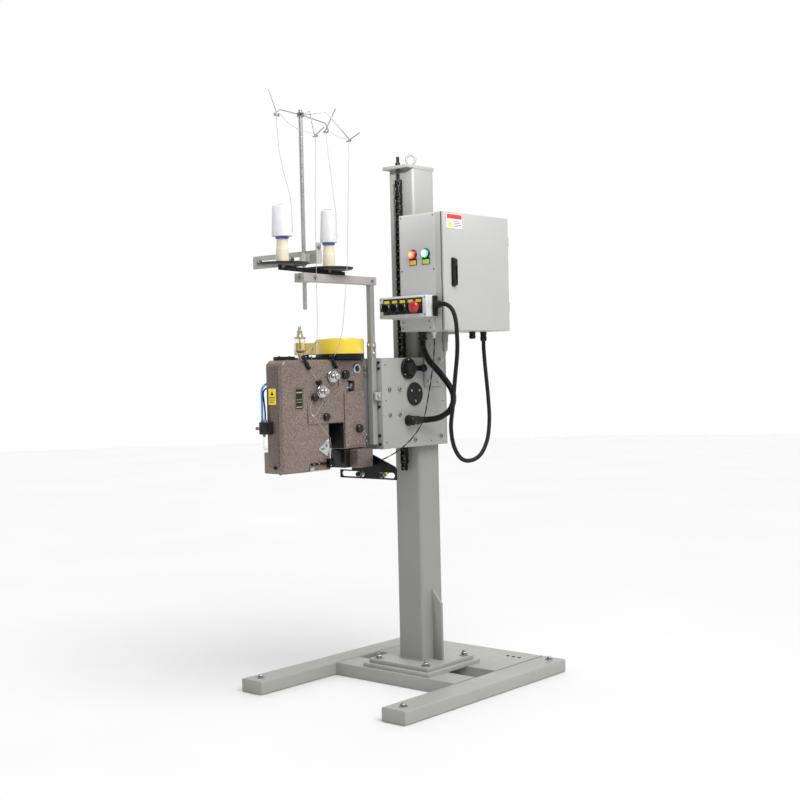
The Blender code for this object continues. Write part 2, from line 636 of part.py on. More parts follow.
def make_belt_drive(mats):
    plate_low, plate_high = HEAD_TOP + GAP, HEAD_TOP + 0.008
    outline = rounded(rectangle((-0.170, -0.420), (0.040, -0.292)), 0.012, 3)
    plate = make("motor_plate", prism(outline, 2, plate_low, plate_high), mats["black_steel"])
    holes = [turned([(0.98, radius), (1.02, radius)], 2, (x, y, 0), 16)
             for x, y, radius in ((PULLEY_X, PULLEY_Y, 0.0095), (MOTOR_X, MOTOR_Y, 0.0075))]
    combine(plate, holes, "DIFFERENCE")
    guard_low = HEAD_TOP + 0.0165
    seat = turned([(plate_low, 0.0705), (guard_low - GAP, 0.0705)], 2, (PULLEY_X, PULLEY_Y, 0), 28)
    recess = turned([(plate_low - 0.01, 0.0180), (guard_low + 0.01, 0.0180)], 2, (PULLEY_X, PULLEY_Y, 0),
                    16)
    combine(plate, [seat], "UNION")
    combine(plate, [recess], "DIFFERENCE")
    motor = turned([(0.800, 0.044), (0.803, 0.050), (0.826, 0.052), (0.828, 0.049), (0.968, 0.049),
                    (0.970, 0.052),
                    (HEAD_TOP, 0.052)], 2, (MOTOR_X, MOTOR_Y, 0), 18)
    make("sewing_motor", motor, mats["motor_grey"], smooth=35)
    middle = (PULLEY_LOW + PULLEY_HIGH) / 2
    for name, x, y, radius, shaft, foot in (
            ("head_pulley", PULLEY_X, PULLEY_Y, HEAD_PULLEY_RADIUS, 0.0080, HEAD_TOP - 0.019),
            ("motor_pulley", MOTOR_X, MOTOR_Y, MOTOR_PULLEY_RADIUS, 0.0060, HEAD_TOP + GAP)):
        root = radius - GROOVE_DEPTH
        profile = [(foot, shaft), (PULLEY_LOW - 0.003, shaft), (PULLEY_LOW - 0.003, shaft + 0.005),
                   (PULLEY_LOW, shaft + 0.005), (PULLEY_LOW, radius), (middle - 0.0058, radius),
                   (middle - 0.0050, root), (middle + 0.0050, root), (middle + 0.0058, radius),
                   (PULLEY_HIGH, radius), (PULLEY_HIGH, shaft + 0.005), (PULLEY_HIGH + 0.004, shaft)]
        make(name, turned(profile, 2, (x, y, 0), 20), mats["black_steel"], (x, y, middle), smooth=35)
    inner_a = HEAD_PULLEY_RADIUS - GROOVE_DEPTH + 2 * GAP
    inner_b = MOTOR_PULLEY_RADIUS - GROOVE_DEPTH + 2 * GAP
    thick = 0.0045
    outer_line = belt_outline(inner_a + thick, inner_b + thick, 15)
    inner_line = belt_outline(inner_a, inner_b, 15)
    belt = bmesh.new()
    low, high = middle - 0.0044, middle + 0.0044
    loops = [[belt.verts.new((x, y, z)) for x, y in line]
             for line, z in ((outer_line, low), (outer_line, high), (inner_line, high), (inner_line, low))]
    count = len(outer_line)
    for i in range(4):
        first, second = loops[i], loops[(i + 1) % 4]
        for k in range(count):
            n = (k + 1) % count
            belt.faces.new((first[k], first[n], second[n], second[k]))
    make("drive_belt", belt, mats["rubber"], smooth=40)
    # yellow guard: a drum over the head pulley with a lower tail over the motor pulley
    wall = 0.002
    drum = turned([(guard_low, 0.071), (1.053, 0.071), (1.055, 0.069)], 2, (PULLEY_X, PULLEY_Y, 0), 28)
    guard = make("belt_guard", drum, mats["yellow_paint"])
    tail = prism(belt_outline(0.066, 0.038, 12), 2, guard_low, 1.046)
    combine(guard, [tail], "UNION")
    inside = turned([(guard_low - 0.01, 0.071 - wall), (1.055 - wall, 0.071 - wall)], 2,
                    (PULLEY_X, PULLEY_Y, 0), 28)
    tail_inside = prism(belt_outline(0.066 - wall, 0.038 - wall, 12), 2, guard_low - 0.01, 1.046 - wall)
    combine(guard, [inside, tail_inside], "DIFFERENCE")
    guard.data.shade_smooth()
    guard.data.set_sharp_from_angle(angle=radians(35))


def make_head_trim(mats):
    # needle bar: slides along Y out of the left body into the throat
    profile = [(-0.535, 0.0048), (-0.4420, 0.0048), (-0.4400, 0.0030), (-0.4300, 0.0030), (-0.4290, 0.0010),
               (-0.4050, 0.0008), (-0.4010, 0.0002)]
    make("needle_bar", turned(profile, 1, (NEEDLE_X, 0, NEEDLE_Z), 12), mats["steel"],
         (NEEDLE_X, -0.440, NEEDLE_Z), smooth=40)
    # presser foot: a shoe at the throat's edge on an arm along the face
    face = HEAD_FACE + GAP
    shoe = block((face, -0.452, PRESSER_Z - 0.013), (face + 0.014, -0.430, PRESSER_Z + 0.013))
    bevel(shoe, 0.002)
    foot = make("presser_foot", shoe, mats["black_steel"], (face, -0.440, PRESSER_Z))
    arm = block((face, -0.515, PRESSER_Z - 0.003), (face + 0.006, -0.445, PRESSER_Z + 0.003))
    combine(foot, [arm], "UNION")
    # oil cup on top of the head
    profile = [(HEAD_TOP + GAP, 0.0060), (1.010, 0.0060), (1.010, 0.0090), (1.016, 0.0090), (1.020, 0.0150),
               (1.023, 0.0175),
               (1.026, 0.0175), (1.026, 0.0150), (1.056, 0.0150), (1.056, 0.0175), (1.060, 0.0175),
               (1.062, 0.0100),
               (1.070, 0.0080), (1.078, 0.0080), (1.080, 0.0040), (1.092, 0.0035)]
    make("oil_cup", turned(profile, 2, (0.010, -0.512, 0), 12), mats["brass"], smooth=40)
    for name, (y, z) in TENSIONS.items():
        profile = [(0.0, 0.0060), (0.004, 0.0060), (0.0045, 0.0160), (0.0065, 0.0172), (0.0090, 0.0120),
                   (0.0115, 0.0172),
                   (0.0135, 0.0160), (0.0150, 0.0070), (0.0230, 0.0065), (0.0240, 0.0090), (0.0300, 0.0085)]
        make(name, turned(profile, 0, (face, y, z), 16), mats["chrome"], (face, y, z), smooth=40)
    # slotted plate below the mount block for the two bag sensors
    outline = [(-0.068, 0.645), (0.156, 0.645), (0.156, 0.677), (0.150, 0.684), (0.064, 0.717),
               (0.030, 0.717),
               (0.030, 0.7447), (-0.020, 0.7447), (-0.020, 0.6695), (-0.068, 0.6695)]
    plate = make("sensor_bracket", prism(outline, 1, -0.2785, -0.2755), mats["black_steel"])
    slots = [prism(slot_outline(low, high, 0.6577, 0.0080), 1, -0.290, -0.265)
             for low, high in ((-0.060, 0.030), (0.089, 0.149))]
    combine(plate, slots, "DIFFERENCE")


# ---------------------------------------------------------------- thread stand

def make_thread_stand(mats):
    steel = mats["stand_steel"]
    x0, y0, size = 0.0430, -0.2703, 0.020
    step = 0.0015
    low, joint = 0.745, 1.045
    sleeve = prism(rectangle((x0, y0), (x0 + size, y0 + size)), 2, low, joint)
    bevel(sleeve, 0.0015, 1, axis=2)
    upright = make("stand_upright", sleeve, steel)
    inner = prism(rectangle((x0 + step, y0 + step), (x0 + size - step, y0 + size - step)), 2, joint - 0.005,
                  ARM_LOW - GAP)
    bevel(inner, 0.0015, 1, axis=2)
    combine(upright, [inner], "UNION")
    clamp = block((POST_X - 0.015, POST_Y - 0.025, ARM_LOW - 0.001),
                  (POST_X + 0.024, POST_Y + 0.015, ARM_HIGH + 0.001))
    bevel(clamp, 0.002)
    arm = make("stand_arm", clamp, steel)
    bore = turned([(ARM_LOW - 0.010, POST_RADIUS + GAP), (ARM_HIGH + 0.040, POST_RADIUS + GAP)], 2,
                  (POST_X, POST_Y, 0), 16)
    combine(arm, [bore], "DIFFERENCE")
    tube = block((x0, POST_Y + 0.011, ARM_LOW), (x0 + size, -0.2430, ARM_HIGH))
    bevel(tube, 0.0015, 1, axis=1)
    combine(arm, [tube], "UNION")
    post = turned([(POST_LOW, POST_RADIUS), (POST_TOP - 0.002, POST_RADIUS),
                   (POST_TOP, POST_RADIUS - 0.002)],
                  2, (POST_X, POST_Y, 0), 16)
    make("stand_post", post, mats["steel"], smooth=40)
    make_trays(mats)
    make_guide_wires(mats)


def make_trays(mats):
    # flat bar that carries the trays, clamped to the post on its +X side
    middle = place_on_bar(0.0)
    low, high = TRAY_LOW - GAP - BAR_HEIGHT, TRAY_LOW - GAP
    x = middle[0]
    bar = block((x - 0.0015, middle[1] - 0.135, low), (x + 0.0015, middle[1] + 0.198, high))
    make("tray_bar", turned_about_post(bar), mats["black_steel"])
    # slotted cross bar behind the post
    outline = rounded(rectangle((POST_X - 0.216, 1.2620), (POST_X + 0.060, 1.2990)), 0.005, 2)
    bar = make("slotted_bar", prism(outline, 1, POST_Y + 0.0075, POST_Y + 0.0115), mats["stand_steel"])
    slot = prism(slot_outline(POST_X - 0.202, POST_X - 0.020, 1.2800, 0.0045), 1, POST_Y, POST_Y + 0.020)
    lug = block((POST_X + 0.056, POST_Y - 0.010, 1.2600), (POST_X + 0.060, POST_Y + 0.009, 1.3180))
    combine(bar, [slot], "DIFFERENCE")
    combine(bar, [lug], "UNION")
    for name, place in (("left", -1), ("right", 1)):
        cx, cy = place_on_bar(place * CONE_SPACING)
        rim = TRAY_RADIUS
        tray = turned([(TRAY_LOW, rim - 0.005), (TRAY_LOW + 0.002, rim), (TRAY_HIGH, rim),
                       (TRAY_HIGH, rim - 0.003),
                       (TRAY_HIGH - 0.002, rim - 0.004), (TRAY_HIGH - 0.002, 0.0165)], 2, (cx, cy, 0), 24)
        base = TRAY_HIGH - 0.003
        low_radius, top_radius, cone_top = CONES[name]
        holder = turned([(base, 0.0180), (base + 0.003, 0.0180), (1.300, 0.0165),
                         (CONE_LOW - 0.008, 0.0145),
                         (CONE_LOW + 0.004, 0.0110), (cone_top - 0.020, 0.0085),
                         (cone_top - 0.012, 0.0065)],
                        2, (cx, cy, 0), 14)
        tray = make("cone_tray_" + name, tray, mats["black_plastic"])
        combine(tray, [holder], "UNION")
        tray.data.shade_smooth()
        tray.data.set_sharp_from_angle(angle=radians(40))
        bottom = CONE_LOW - 0.006
        cone = turned([(bottom, 0.0158), (bottom, 0.0180), (CONE_LOW, 0.0184),
                       (CONE_LOW, low_radius - 0.0014),
                       (CONE_LOW + 0.002, low_radius), (cone_top - 0.003, top_radius),
                       (cone_top - 0.001, top_radius - 0.0015),
                       (cone_top, 0.0125), (cone_top + 0.002, 0.0110), (cone_top + 0.002, 0.0095),
                       (cone_top - 0.020, 0.0100), (CONE_LOW + 0.004, 0.0130)],
                      2, (cx, cy, 0), 18, ring=True)
        make("thread_cone_" + name, cone, mats["white_thread"], smooth=40)


def pigtail(start, bend, eye, tip, turn):
    """A guide wire: from the hub to a bend, then once round its eye and out to the tip. It meets and
    leaves the eye along the eye's tangent. Turn is 1 or -1, for the way the wire winds."""
    start, bend, tip = Vector(start), Vector(bend), Vector(tip)
    inward, outward = eye - bend, tip - eye
    first = atan2(inward.y, inward.x) - turn * pi / 2
    sweep = turn * (atan2(outward.y, outward.x) - atan2(inward.y, inward.x)) % (2 * pi)
    if sweep < 1.5 * pi:
        sweep += 2 * pi
    steps = round(9 * sweep / (2 * pi))
    points = [start, bend]
    for k in range(steps + 1):
        angle = first + turn * sweep * k / steps
        height = WIRE_RADIUS * 2.6 * sweep / (2 * pi) * (0.5 - k / steps)
        points.append(eye + Vector((EYE_RADIUS * cos(angle), EYE_RADIUS * sin(angle), height)))
    points.append(tip)
    return points


def guide_eyes():
    """Middles of the thread eyes: rear left and rear right above the cones, front left and front right."""
    left = place_on_bar(-CONE_SPACING)
    right = place_on_bar(CONE_SPACING)
    return (Vector((left[0], left[1] - 0.010, 1.655)), Vector((right[0], right[1], 1.645)),
            Vector((0.070, -0.491, 1.617)), Vector((0.118, -0.407, 1.607)))


def guide_wires():
    rear_left, rear_right, front_left, front_right = guide_eyes()
    hub = (POST_X, POST_Y, HUB_Z)
    return [
        pigtail(hub, rear_left + Vector((-0.004, 0.016, 0.017)), rear_left,
                rear_left + Vector((-0.024, -0.004, 0.073)), 1),
        pigtail(hub, rear_right + Vector((0.004, -0.006, 0.023)), rear_right,
                rear_right + Vector((0.036, 0.004, 0.061)), 1),
        pigtail(hub, (POST_X + 0.014, POST_Y + 0.022, HUB_Z + 0.012), front_left,
                front_left + Vector((0.029, 0.006, 0.022)), 1),
        pigtail(hub, (POST_X + 0.050, POST_Y + 0.052, HUB_Z + 0.008), front_right,
                front_right + Vector((0.038, 0.005, 0.019)), 1),
    ]


def make_guide_wires(mats):
    collar = turned([(HUB_Z - 0.006, POST_RADIUS + 0.0002), (HUB_Z - 0.006, 0.010), (HUB_Z + 0.006, 0.010),
                     (HUB_Z + 0.006, POST_RADIUS + 0.0002)], 2, (POST_X, POST_Y, 0), 16, ring=True)
    guides = make("thread_guides", collar, mats["steel"])
    for route in guide_wires():
        hub, bend = route[0], route[1]
        flat = Vector((bend.x - hub.x, bend.y - hub.y, 0.0)).normalized()
        route[0] = hub + flat * (POST_RADIUS + 0.0022)
        combine(guides, [wire(route, WIRE_RADIUS)], "UNION", split=False)
    guides.data.shade_smooth()
    guides.data.set_sharp_from_angle(angle=radians(50))


# ---------------------------------------------------------------- switch cabinet and control box

def make_cabinet(mats):
    paint = mats["cabinet_paint"]
    bm = block((CAB_BACK, CAB_LEFT, CAB_LOW), (CAB_FRONT, CAB_RIGHT, CAB_TOP))
    bevel(bm, 0.003, 2, axis=0)
    cabinet = make("cabinet_body", bm, paint)
    inside = block((CAB_BACK + SHEET, CAB_LEFT + SHEET, CAB_LOW + SHEET),
                   (CAB_FRONT + 0.01, CAB_RIGHT - SHEET, CAB_TOP - SHEET))
    combine(cabinet, [inside], "DIFFERENCE")
    cabinet.data.shade_smooth()
    cabinet.data.set_sharp_from_angle(angle=radians(30))
    bm = block((CAB_BACK + SHEET + 0.006, -0.120, 1.100), (CAB_BACK + SHEET + 0.008, 0.150, 1.397))
    panel = make("mounting_plate", bm, mats["steel"])
    feet = [block((CAB_BACK + SHEET + GAP, y - 0.006, z - 0.006),
                  (CAB_BACK + SHEET + 0.007, y + 0.006, z + 0.006))
            for y in (-0.105, 0.135) for z in (1.115, 1.382)]
    combine(panel, feet, "UNION")
    drive = block((CAB_BACK + SHEET + 0.0070, -0.060, 1.170), (CAB_BACK + SHEET + 0.095, 0.050, 1.330))
    bevel(drive, 0.003)
    combine(panel, [drive], "UNION")
    # door: a shallow pan, hinged at its rear edge on pins outside the box
    bm = block((DOOR_IN - 0.0020, CAB_LEFT, CAB_LOW), (DOOR_OUT, CAB_RIGHT, CAB_TOP))
    bevel(bm, 0.0025, 2, axis=0)
    pivot = (HINGE_X, HINGE_Y, (CAB_LOW + CAB_TOP) / 2)
    door = make("cabinet_door", bm, paint, pivot)
    pan = block((DOOR_IN - 0.01, CAB_LEFT + 0.002, CAB_LOW + 0.002),
                (DOOR_OUT - 0.002, CAB_RIGHT - 0.002, CAB_TOP - 0.002))
    combine(door, [pan], "DIFFERENCE")
    leaves = []
    for z in (1.150, 1.350):
        leaves.append(turned([(z - 0.015, 0.0045), (z + 0.015, 0.0045)], 2, (HINGE_X, HINGE_Y, 0), 12))
        leaves.append(block((DOOR_IN, CAB_RIGHT - 0.001, z - 0.014),
                            (DOOR_IN + 0.004, HINGE_Y + 0.001, z + 0.014)))
    combine(door, leaves, "UNION")
    door.data.shade_smooth()
    door.data.set_sharp_from_angle(angle=radians(30))
    # swing handle: flat lever that lifts out about its top end
    face = DOOR_OUT + GAP
    outline = rounded(rectangle((LATCH_Y - 0.011, LATCH_Z - 0.040), (LATCH_Y + 0.011, LATCH_Z + 0.038)),
                      0.006, 3)
    bm = prism(outline, 0, face, face + 0.009)
    pivot = (face + 0.0045, LATCH_Y, LATCH_Z + 0.038)
    latch = make("door_latch", bm, mats["black_plastic"], pivot, smooth=30)
    outline = rounded(rectangle((LATCH_Y - 0.006, LATCH_Z - 0.030), (LATCH_Y + 0.006, LATCH_Z + 0.016)),
                      0.004, 2)
    dish = prism(outline, 0, face + 0.006, face + 0.02)
    combine(latch, [dish], "DIFFERENCE")


def make_control_box(mats):
    (x0, x1), (y0, y1), (z0, z1) = BOX_X, BOX_Y, BOX_Z
    bm = block((x0, y0, z0), (x1, y1, z1))
    bevel(bm, 0.003, 2)
    box = make("control_box", bm, mats["box_plastic"])
    gland_bar = block((x1 - 0.001, y1 - 0.0165, z0 + 0.002), (x1 + 0.0085, y1 - 0.001, z1 - 0.002))
    gland = turned([(0.0, 0.0105), (0.020, 0.0105), (0.024, 0.0085)], 0, (x1 + 0.006, CABLE_Y, 1.150), 20)
    combine(box, [gland_bar, gland], "UNION")
    box.data.shade_smooth()
    box.data.set_sharp_from_angle(angle=radians(35))
    shelf_high = z0 - GAP
    back = CAB_LEFT - GAP
    bm = block((CAB_BACK + 0.001, back - 0.003, CAB_LOW + 0.001), (0.203, back, shelf_high))
    bracket = make("control_bracket", bm, mats["cabinet_paint"])
    shelf = block((CAB_BACK + 0.001, y0 + 0.004, shelf_high - 0.003), (0.203, back - 0.001, shelf_high))
    apron = block((CAB_BACK + 0.001, back - 0.0065, z0 - 0.020), (0.203, back - 0.001, shelf_high - 0.001))
    combine(bracket, [shelf, apron], "UNION")
    for number in range(4):
        x = SWITCH_X + number * SWITCH_PITCH
        centre = (x, y0 - GAP, SWITCH_Z)
        collar = turned([(0.0, 0.0140), (-0.004, 0.0140), (-0.006, 0.0120), (-0.010, 0.0115)], 1, centre,
                        14)
        switch = make("selector_switch_%d" % (number + 1), collar, mats["black_plastic"], centre)
        lever = block((x - 0.0045, y0 - 0.027, SWITCH_Z - 0.010),
                      (x + 0.0045, y0 - 0.008, SWITCH_Z + 0.014))
        bevel(lever, 0.0015)
        combine(switch, [lever], "UNION")
    x = SWITCH_X + 4 * SWITCH_PITCH
    centre = (x, y0 - 0.0065, SWITCH_Z)
    profile = [(0.0, 0.0090), (-0.016, 0.0090), (-0.018, 0.0185), (-0.022, 0.0190), (-0.027, 0.0180),
               (-0.031, 0.0130), (-0.032, 0.0060)]
    make("emergency_stop", turned(profile, 1, centre, 20), mats["red_plastic"], centre, smooth=40)
    collar = turned([(0.0, 0.0100), (0.0, 0.0145), (-0.008, 0.0145), (-0.010, 0.0130), (-0.010, 0.0100)],
                    1, (x, y0, SWITCH_Z), 16, ring=True)
    combine(box, [collar], "UNION")


# ---------------------------------------------------------------- cords and threads

CONTROL_CABLE = [(0.2418, CABLE_Y, 1.1500), (0.2560, CABLE_Y, 1.1500), (0.280, -0.165, 1.136),
                 (0.292, -0.164, 1.110),
                 (0.294, -0.160, 1.072), (0.283, -0.146, 1.010), (0.258, -0.128, 0.930),
                 (0.235, -0.112, 0.850),
                 (0.219, -0.102, 0.790), (0.208, -0.076, 0.732), (0.199, -0.030, 0.692),
                 (0.193, 0.025, 0.683),
                 (0.189, 0.078, 0.698), (0.185, 0.118, 0.740), (0.182, 0.135, 0.800), (0.178, 0.137, 0.870),
                 (0.170, 0.135, 0.970), (0.165, 0.136, 1.0250), (0.165, 0.136, 1.0457)]
HEAD_CONDUIT = [(0.110, -0.093, 1.0497), (0.110, -0.093, 1.030), (0.118, -0.076, 0.990),
                (0.133, -0.042, 0.950),
                (0.147, -0.010, 0.905), (0.150, -0.001, 0.870), (0.143, -0.012, 0.836),
                (0.124, -0.037, 0.816),
                (0.104, -0.060, 0.8105), (0.0923, -0.083, 0.810), (0.0923, -0.0974, 0.810)]
SENSOR_CABLE = [(0.138, -0.072, 1.0547), (0.138, -0.072, 1.040), (0.149, -0.090, 1.000),
                (0.150, -0.100, 0.957),
                (0.145, -0.115, 0.880), (0.141, -0.134, 0.815), (0.128, -0.160, 0.770),
                (0.108, -0.195, 0.733),
                (0.092, -0.232, 0.711), (0.082, -0.262, 0.700), (0.082, -0.2750, 0.700)]


def make_glands(mats):
    """Glands on the cabinet's underside: for the two cables, the sensor plug and the mains lead."""
    body = bpy.data.objects["cabinet_body"]
    spots = [(0.165, 0.136, 0.0105, 0.029), (0.165, 0.080, 0.0105, 0.022), (0.110, -0.093, 0.0140, 0.025),
             (0.138, -0.072, 0.0050, 0.020), (0.165, -0.055, 0.0095, 0.060)]
    glands = [turned([(CAB_LOW + 0.001, radius), (CAB_LOW - drop * 0.6, radius),
                      (CAB_LOW - drop, radius * 0.85)],
                     2, (x, y, 0), 12) for x, y, radius, drop in spots]
    combine(body, glands, "UNION")


def make_cords(mats):
    cord("control_cable", smooth_route(CONTROL_CABLE, 32), 0.013, mats["rubber"])
    cord("head_conduit", smooth_route(HEAD_CONDUIT, 14), 0.020, mats["rubber"], 3)
    cord("sensor_cable", smooth_route(SENSOR_CABLE, 40), 0.004, mats["rubber"])
    # taut threads: from the cone up through the rear eye, over to the front eye and down to the head
    rear_left, rear_right, front_left, front_right = guide_eyes()
    over, under = Vector((0, 0, 0.0055)), Vector((0, 0, -0.012))
    left, right = place_on_bar(-CONE_SPACING), place_on_bar(CONE_SPACING)
    out = Vector((0.755, 0.656, 0.0))                  # from a cone's axis to where its thread lies
    starts = []
    for name, (x, y) in (("left", left), ("right", right)):
        low_radius, top_radius, cone_top = CONES[name]
        axis = Vector((x, y, 0.0))
        starts.append([axis + out * (low_radius + 0.0012) + Vector((0, 0, CONE_LOW + 0.010)),
                       axis + out * (top_radius + 0.0030) + Vector((0, 0, cone_top - 0.006)),
                       axis + out * (top_radius - 0.0010) + Vector((0, 0, cone_top + 0.030))])
    route = starts[0] + [
        (left[0] + 0.010, left[1] - 0.001, 1.510), (left[0] + 0.003, left[1] - 0.008, 1.570),
        rear_left + under,
        rear_left + over, (0.0732, -0.630, 1.6605), (0.0690, -0.600, 1.643), (0.0655, -0.550, 1.627),
        front_left + over,
        front_left + under,
        (0.0690, -0.497, 1.450), (0.0686, -0.498, 1.300), (0.0682, -0.499, 1.100), (0.0660, -0.500, 1.052),
        (0.060, -0.506, 1.036), (0.051, -0.524, 1.018), (0.0475, -0.538, 1.006)]
    cord("needle_thread_left", route, THREAD, mats["white_thread"])
    route = starts[1] + [
        (right[0] + 0.010, right[1] + 0.006, 1.520), rear_right + under,
        rear_right + over, (0.0415, -0.4074, 1.6505), (0.062, -0.408, 1.633), (0.090, -0.408, 1.618),
        front_right + over,
        front_right + under,
        (0.113, -0.408, 1.480), (0.107, -0.409, 1.330), (0.102, -0.410, 1.240), (0.092, -0.412, 1.150),
        (0.083, -0.413, 1.080),
        (0.070, -0.416, 1.034), (0.055, -0.420, 1.006)]
    cord("needle_thread_right", route, THREAD, mats["white_thread"])


def main():
    clear_scene()
    mats = make_materials()
    make_base(mats)
    make_column(mats)
    make_carriage(mats)
    make_head(mats)
    make_thread_stand(mats)
    make_cabinet(mats)
    make_glands(mats)
    make_control_box(mats)
    make_cords(mats)


main()
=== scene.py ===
"""Looks of the bag closing sewing machine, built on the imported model. Metres, +Z up, origin on the
floor under the column. Every piece takes its place from the CAD nodes' boxes or from the named
dimensions below."""
from math import acos, atan2, cos, degrees, pi, radians, sin
import bmesh
import bpy
from mathutils import Matrix, Vector


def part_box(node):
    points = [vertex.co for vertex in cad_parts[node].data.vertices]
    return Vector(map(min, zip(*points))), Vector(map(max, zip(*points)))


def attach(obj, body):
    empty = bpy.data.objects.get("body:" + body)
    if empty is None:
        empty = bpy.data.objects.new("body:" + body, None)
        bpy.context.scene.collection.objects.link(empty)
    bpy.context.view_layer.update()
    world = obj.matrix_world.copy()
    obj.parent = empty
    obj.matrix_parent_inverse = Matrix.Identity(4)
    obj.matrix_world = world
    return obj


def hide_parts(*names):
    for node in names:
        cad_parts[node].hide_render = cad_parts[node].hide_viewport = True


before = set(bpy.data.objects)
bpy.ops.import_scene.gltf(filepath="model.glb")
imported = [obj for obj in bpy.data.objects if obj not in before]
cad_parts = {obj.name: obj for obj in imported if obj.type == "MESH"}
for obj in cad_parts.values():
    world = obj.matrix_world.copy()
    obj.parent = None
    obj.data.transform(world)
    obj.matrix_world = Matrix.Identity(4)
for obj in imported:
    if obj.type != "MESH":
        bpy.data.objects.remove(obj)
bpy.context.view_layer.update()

X, Y, Z = 0, 1, 2


# ---------------------------------------------------------------- shapes

def others(axis):
    """The two other axes."""
    return [i for i in range(3) if i != axis]


def soften(bm, width, segments=2, min_angle=35, axis=None):
    """Bevels the sharp edges, or only those along one axis."""
    edges = []
    for edge in bm.edges:
        if len(edge.link_faces) != 2 or degrees(edge.calc_face_angle(0.0)) < min_angle:
            continue
        if axis is not None:
            along = (edge.verts[1].co - edge.verts[0].co).normalized()
            if abs(along[axis]) < 0.99:
                continue
        edges.append(edge)
    if edges and width > 0:
        bmesh.ops.bevel(bm, geom=edges, offset=width, segments=segments, profile=0.5, affect="EDGES",
                        clamp_overlap=True)
    return bm


def block(low, high, width=0.0, segments=2, axis=None):
    """A box between two corners, bevelled by the width."""
    bm = bmesh.new()
    bmesh.ops.create_cube(bm, size=1.0)
    low, high = Vector(low), Vector(high)
    for vert in bm.verts:
        vert.co = Vector([(low[i] + high[i]) / 2 + vert.co[i] * (high[i] - low[i]) for i in range(3)])
    return soften(bm, width, segments, axis=axis)


def around(centre, size, width=0.0, segments=2):
    """A block of that size about a centre."""
    centre, half = Vector(centre), Vector(size) / 2
    return block(centre - half, centre + half, width, segments)


def prism(outline, axis, low, high, width=0.0, segments=2):
    """An outline pushed along the axis. Its points hold the two other coordinates in X, Y, Z order."""
    bm = bmesh.new()
    first, second = others(axis)

    def corner(point, level):
        co = [0.0, 0.0, 0.0]
        co[first], co[second] = point
        co[axis] = level
        return bm.verts.new(co)

    start = [corner(point, low) for point in outline]
    end = [corner(point, high) for point in outline]
    bm.faces.new(start)
    bm.faces.new(list(reversed(end)))
    count = len(outline)
    for i in range(count):
        bm.faces.new((start[i], end[i], end[(i + 1) % count], start[(i + 1) % count]))
    bmesh.ops.recalc_face_normals(bm, faces=bm.faces)
    return soften(bm, width, segments)


def skin(bm, loops, closed):
    """Joins loops of corners with faces: round to the first again if closed, or else with flat ends."""
    pairs = list(zip(loops, loops[1:]))
    if closed:
        pairs.append((loops[-1], loops[0]))
    for one, two in pairs:
        for k in range(len(one)):
            n = (k + 1) % len(one)
            bm.faces.new((one[k], one[n], two[n], two[k]))
    if not closed:
        bm.faces.new(loops[0])
        bm.faces.new(loops[-1])
    bmesh.ops.recalc_face_normals(bm, faces=bm.faces)
    return bm


def sleeve(outer, inner, low, high, taper=0.0):
    """An upright sleeve between two outlines. Its inner side is shorter by the taper at both ends."""
    bm = bmesh.new()
    rims = ((outer, low), (outer, high), (inner, high - taper), (inner, low + taper))
    return skin(bm, [[bm.verts.new((x, y, z)) for x, y in line] for line, z in rims], True)


def turned(profile, axis, centre, sides=32, ring=False):
    """A turned piece: (distance along the axis, radius) pairs, measured from the centre."""
    bm = bmesh.new()
    first, second = others(axis)
    loops = []
    for along, radius in profile:
        loop = []
        for k in range(sides):
            angle = 2 * pi * k / sides
            co = [0.0, 0.0, 0.0]
            co[axis] = centre[axis] + along
            co[first] = centre[first] + radius * cos(angle)
            co[second] = centre[second] + radius * sin(angle)
            loop.append(bm.verts.new(co))
        loops.append(loop)
    return skin(bm, loops, ring)


def round_bar(start, end, radius, axis, centre, sides):
    """A plain round bar between two distances along the axis."""
    return turned([(start, radius), (end, radius)], axis, centre, sides)


def tube(points, radius, sides=12, closed=False):
    """A bent round bar along the points. The radius is one number or one for each point."""
    bm = bmesh.new()
    points = [Vector(point) for point in points]
    count = len(points)
    radii = radius if isinstance(radius, list) else [radius] * count
    normal = None
    loops = []
    for i, point in enumerate(points):
        if closed:
            ahead = points[(i + 1) % count] - points[i - 1]
        else:
            ahead = points[min(i + 1, count - 1)] - points[max(i - 1, 0)]
        ahead.normalize()
        if normal is None:
            normal = ahead.orthogonal().normalized()
        normal = (normal - ahead * normal.dot(ahead)).normalized()
        side = ahead.cross(normal)
        loops.append([bm.verts.new(point + radii[i] * (normal * cos(2 * pi * k / sides)
                                                       + side * sin(2 * pi * k / sides)))
                      for k in range(sides)])
    return skin(bm, loops, closed)


def circle(centre, radius, steps=24, start=0.0, sweep=2 * pi):
    """Points on a circle in a plane of two coordinates."""
    closed = abs(abs(sweep) - 2 * pi) < 1e-6
    count = steps if closed else steps + 1
    return [(centre[0] + radius * cos(start + sweep * k / steps), centre[1]
             + radius * sin(start + sweep * k / steps)) for k in range(count)]


def rectangle(low, high):
    return [(low[0], low[1]), (high[0], low[1]), (high[0], high[1]), (low[0], high[1])]


def rounded(points, radius, steps=5):
    """Rounds each corner of an outline with an arc."""
    result = []
    count = len(points)
    for i in range(count):
        here = Vector(points[i])
        before = (Vector(points[i - 1]) - here).normalized()
        after = (Vector(points[(i + 1) % count]) - here).normalized()
        half = acos(max(-1.0, min(1.0, before.dot(after)))) / 2
        reach = radius / max(0.01, sin(half) / cos(half))
        centre = here + (before + after).normalized() * radius / sin(half)
        first, last = here + before * reach - centre, here + after * reach - centre
        sweep = atan2(first.x * last.y - first.y * last.x, first.dot(last))
        for k in range(steps + 1):
            angle = sweep * k / steps
            result.append((centre.x + first.x * cos(angle) - first.y * sin(angle),
                           centre.y + first.x * sin(angle) + first.y * cos(angle)))
    return result


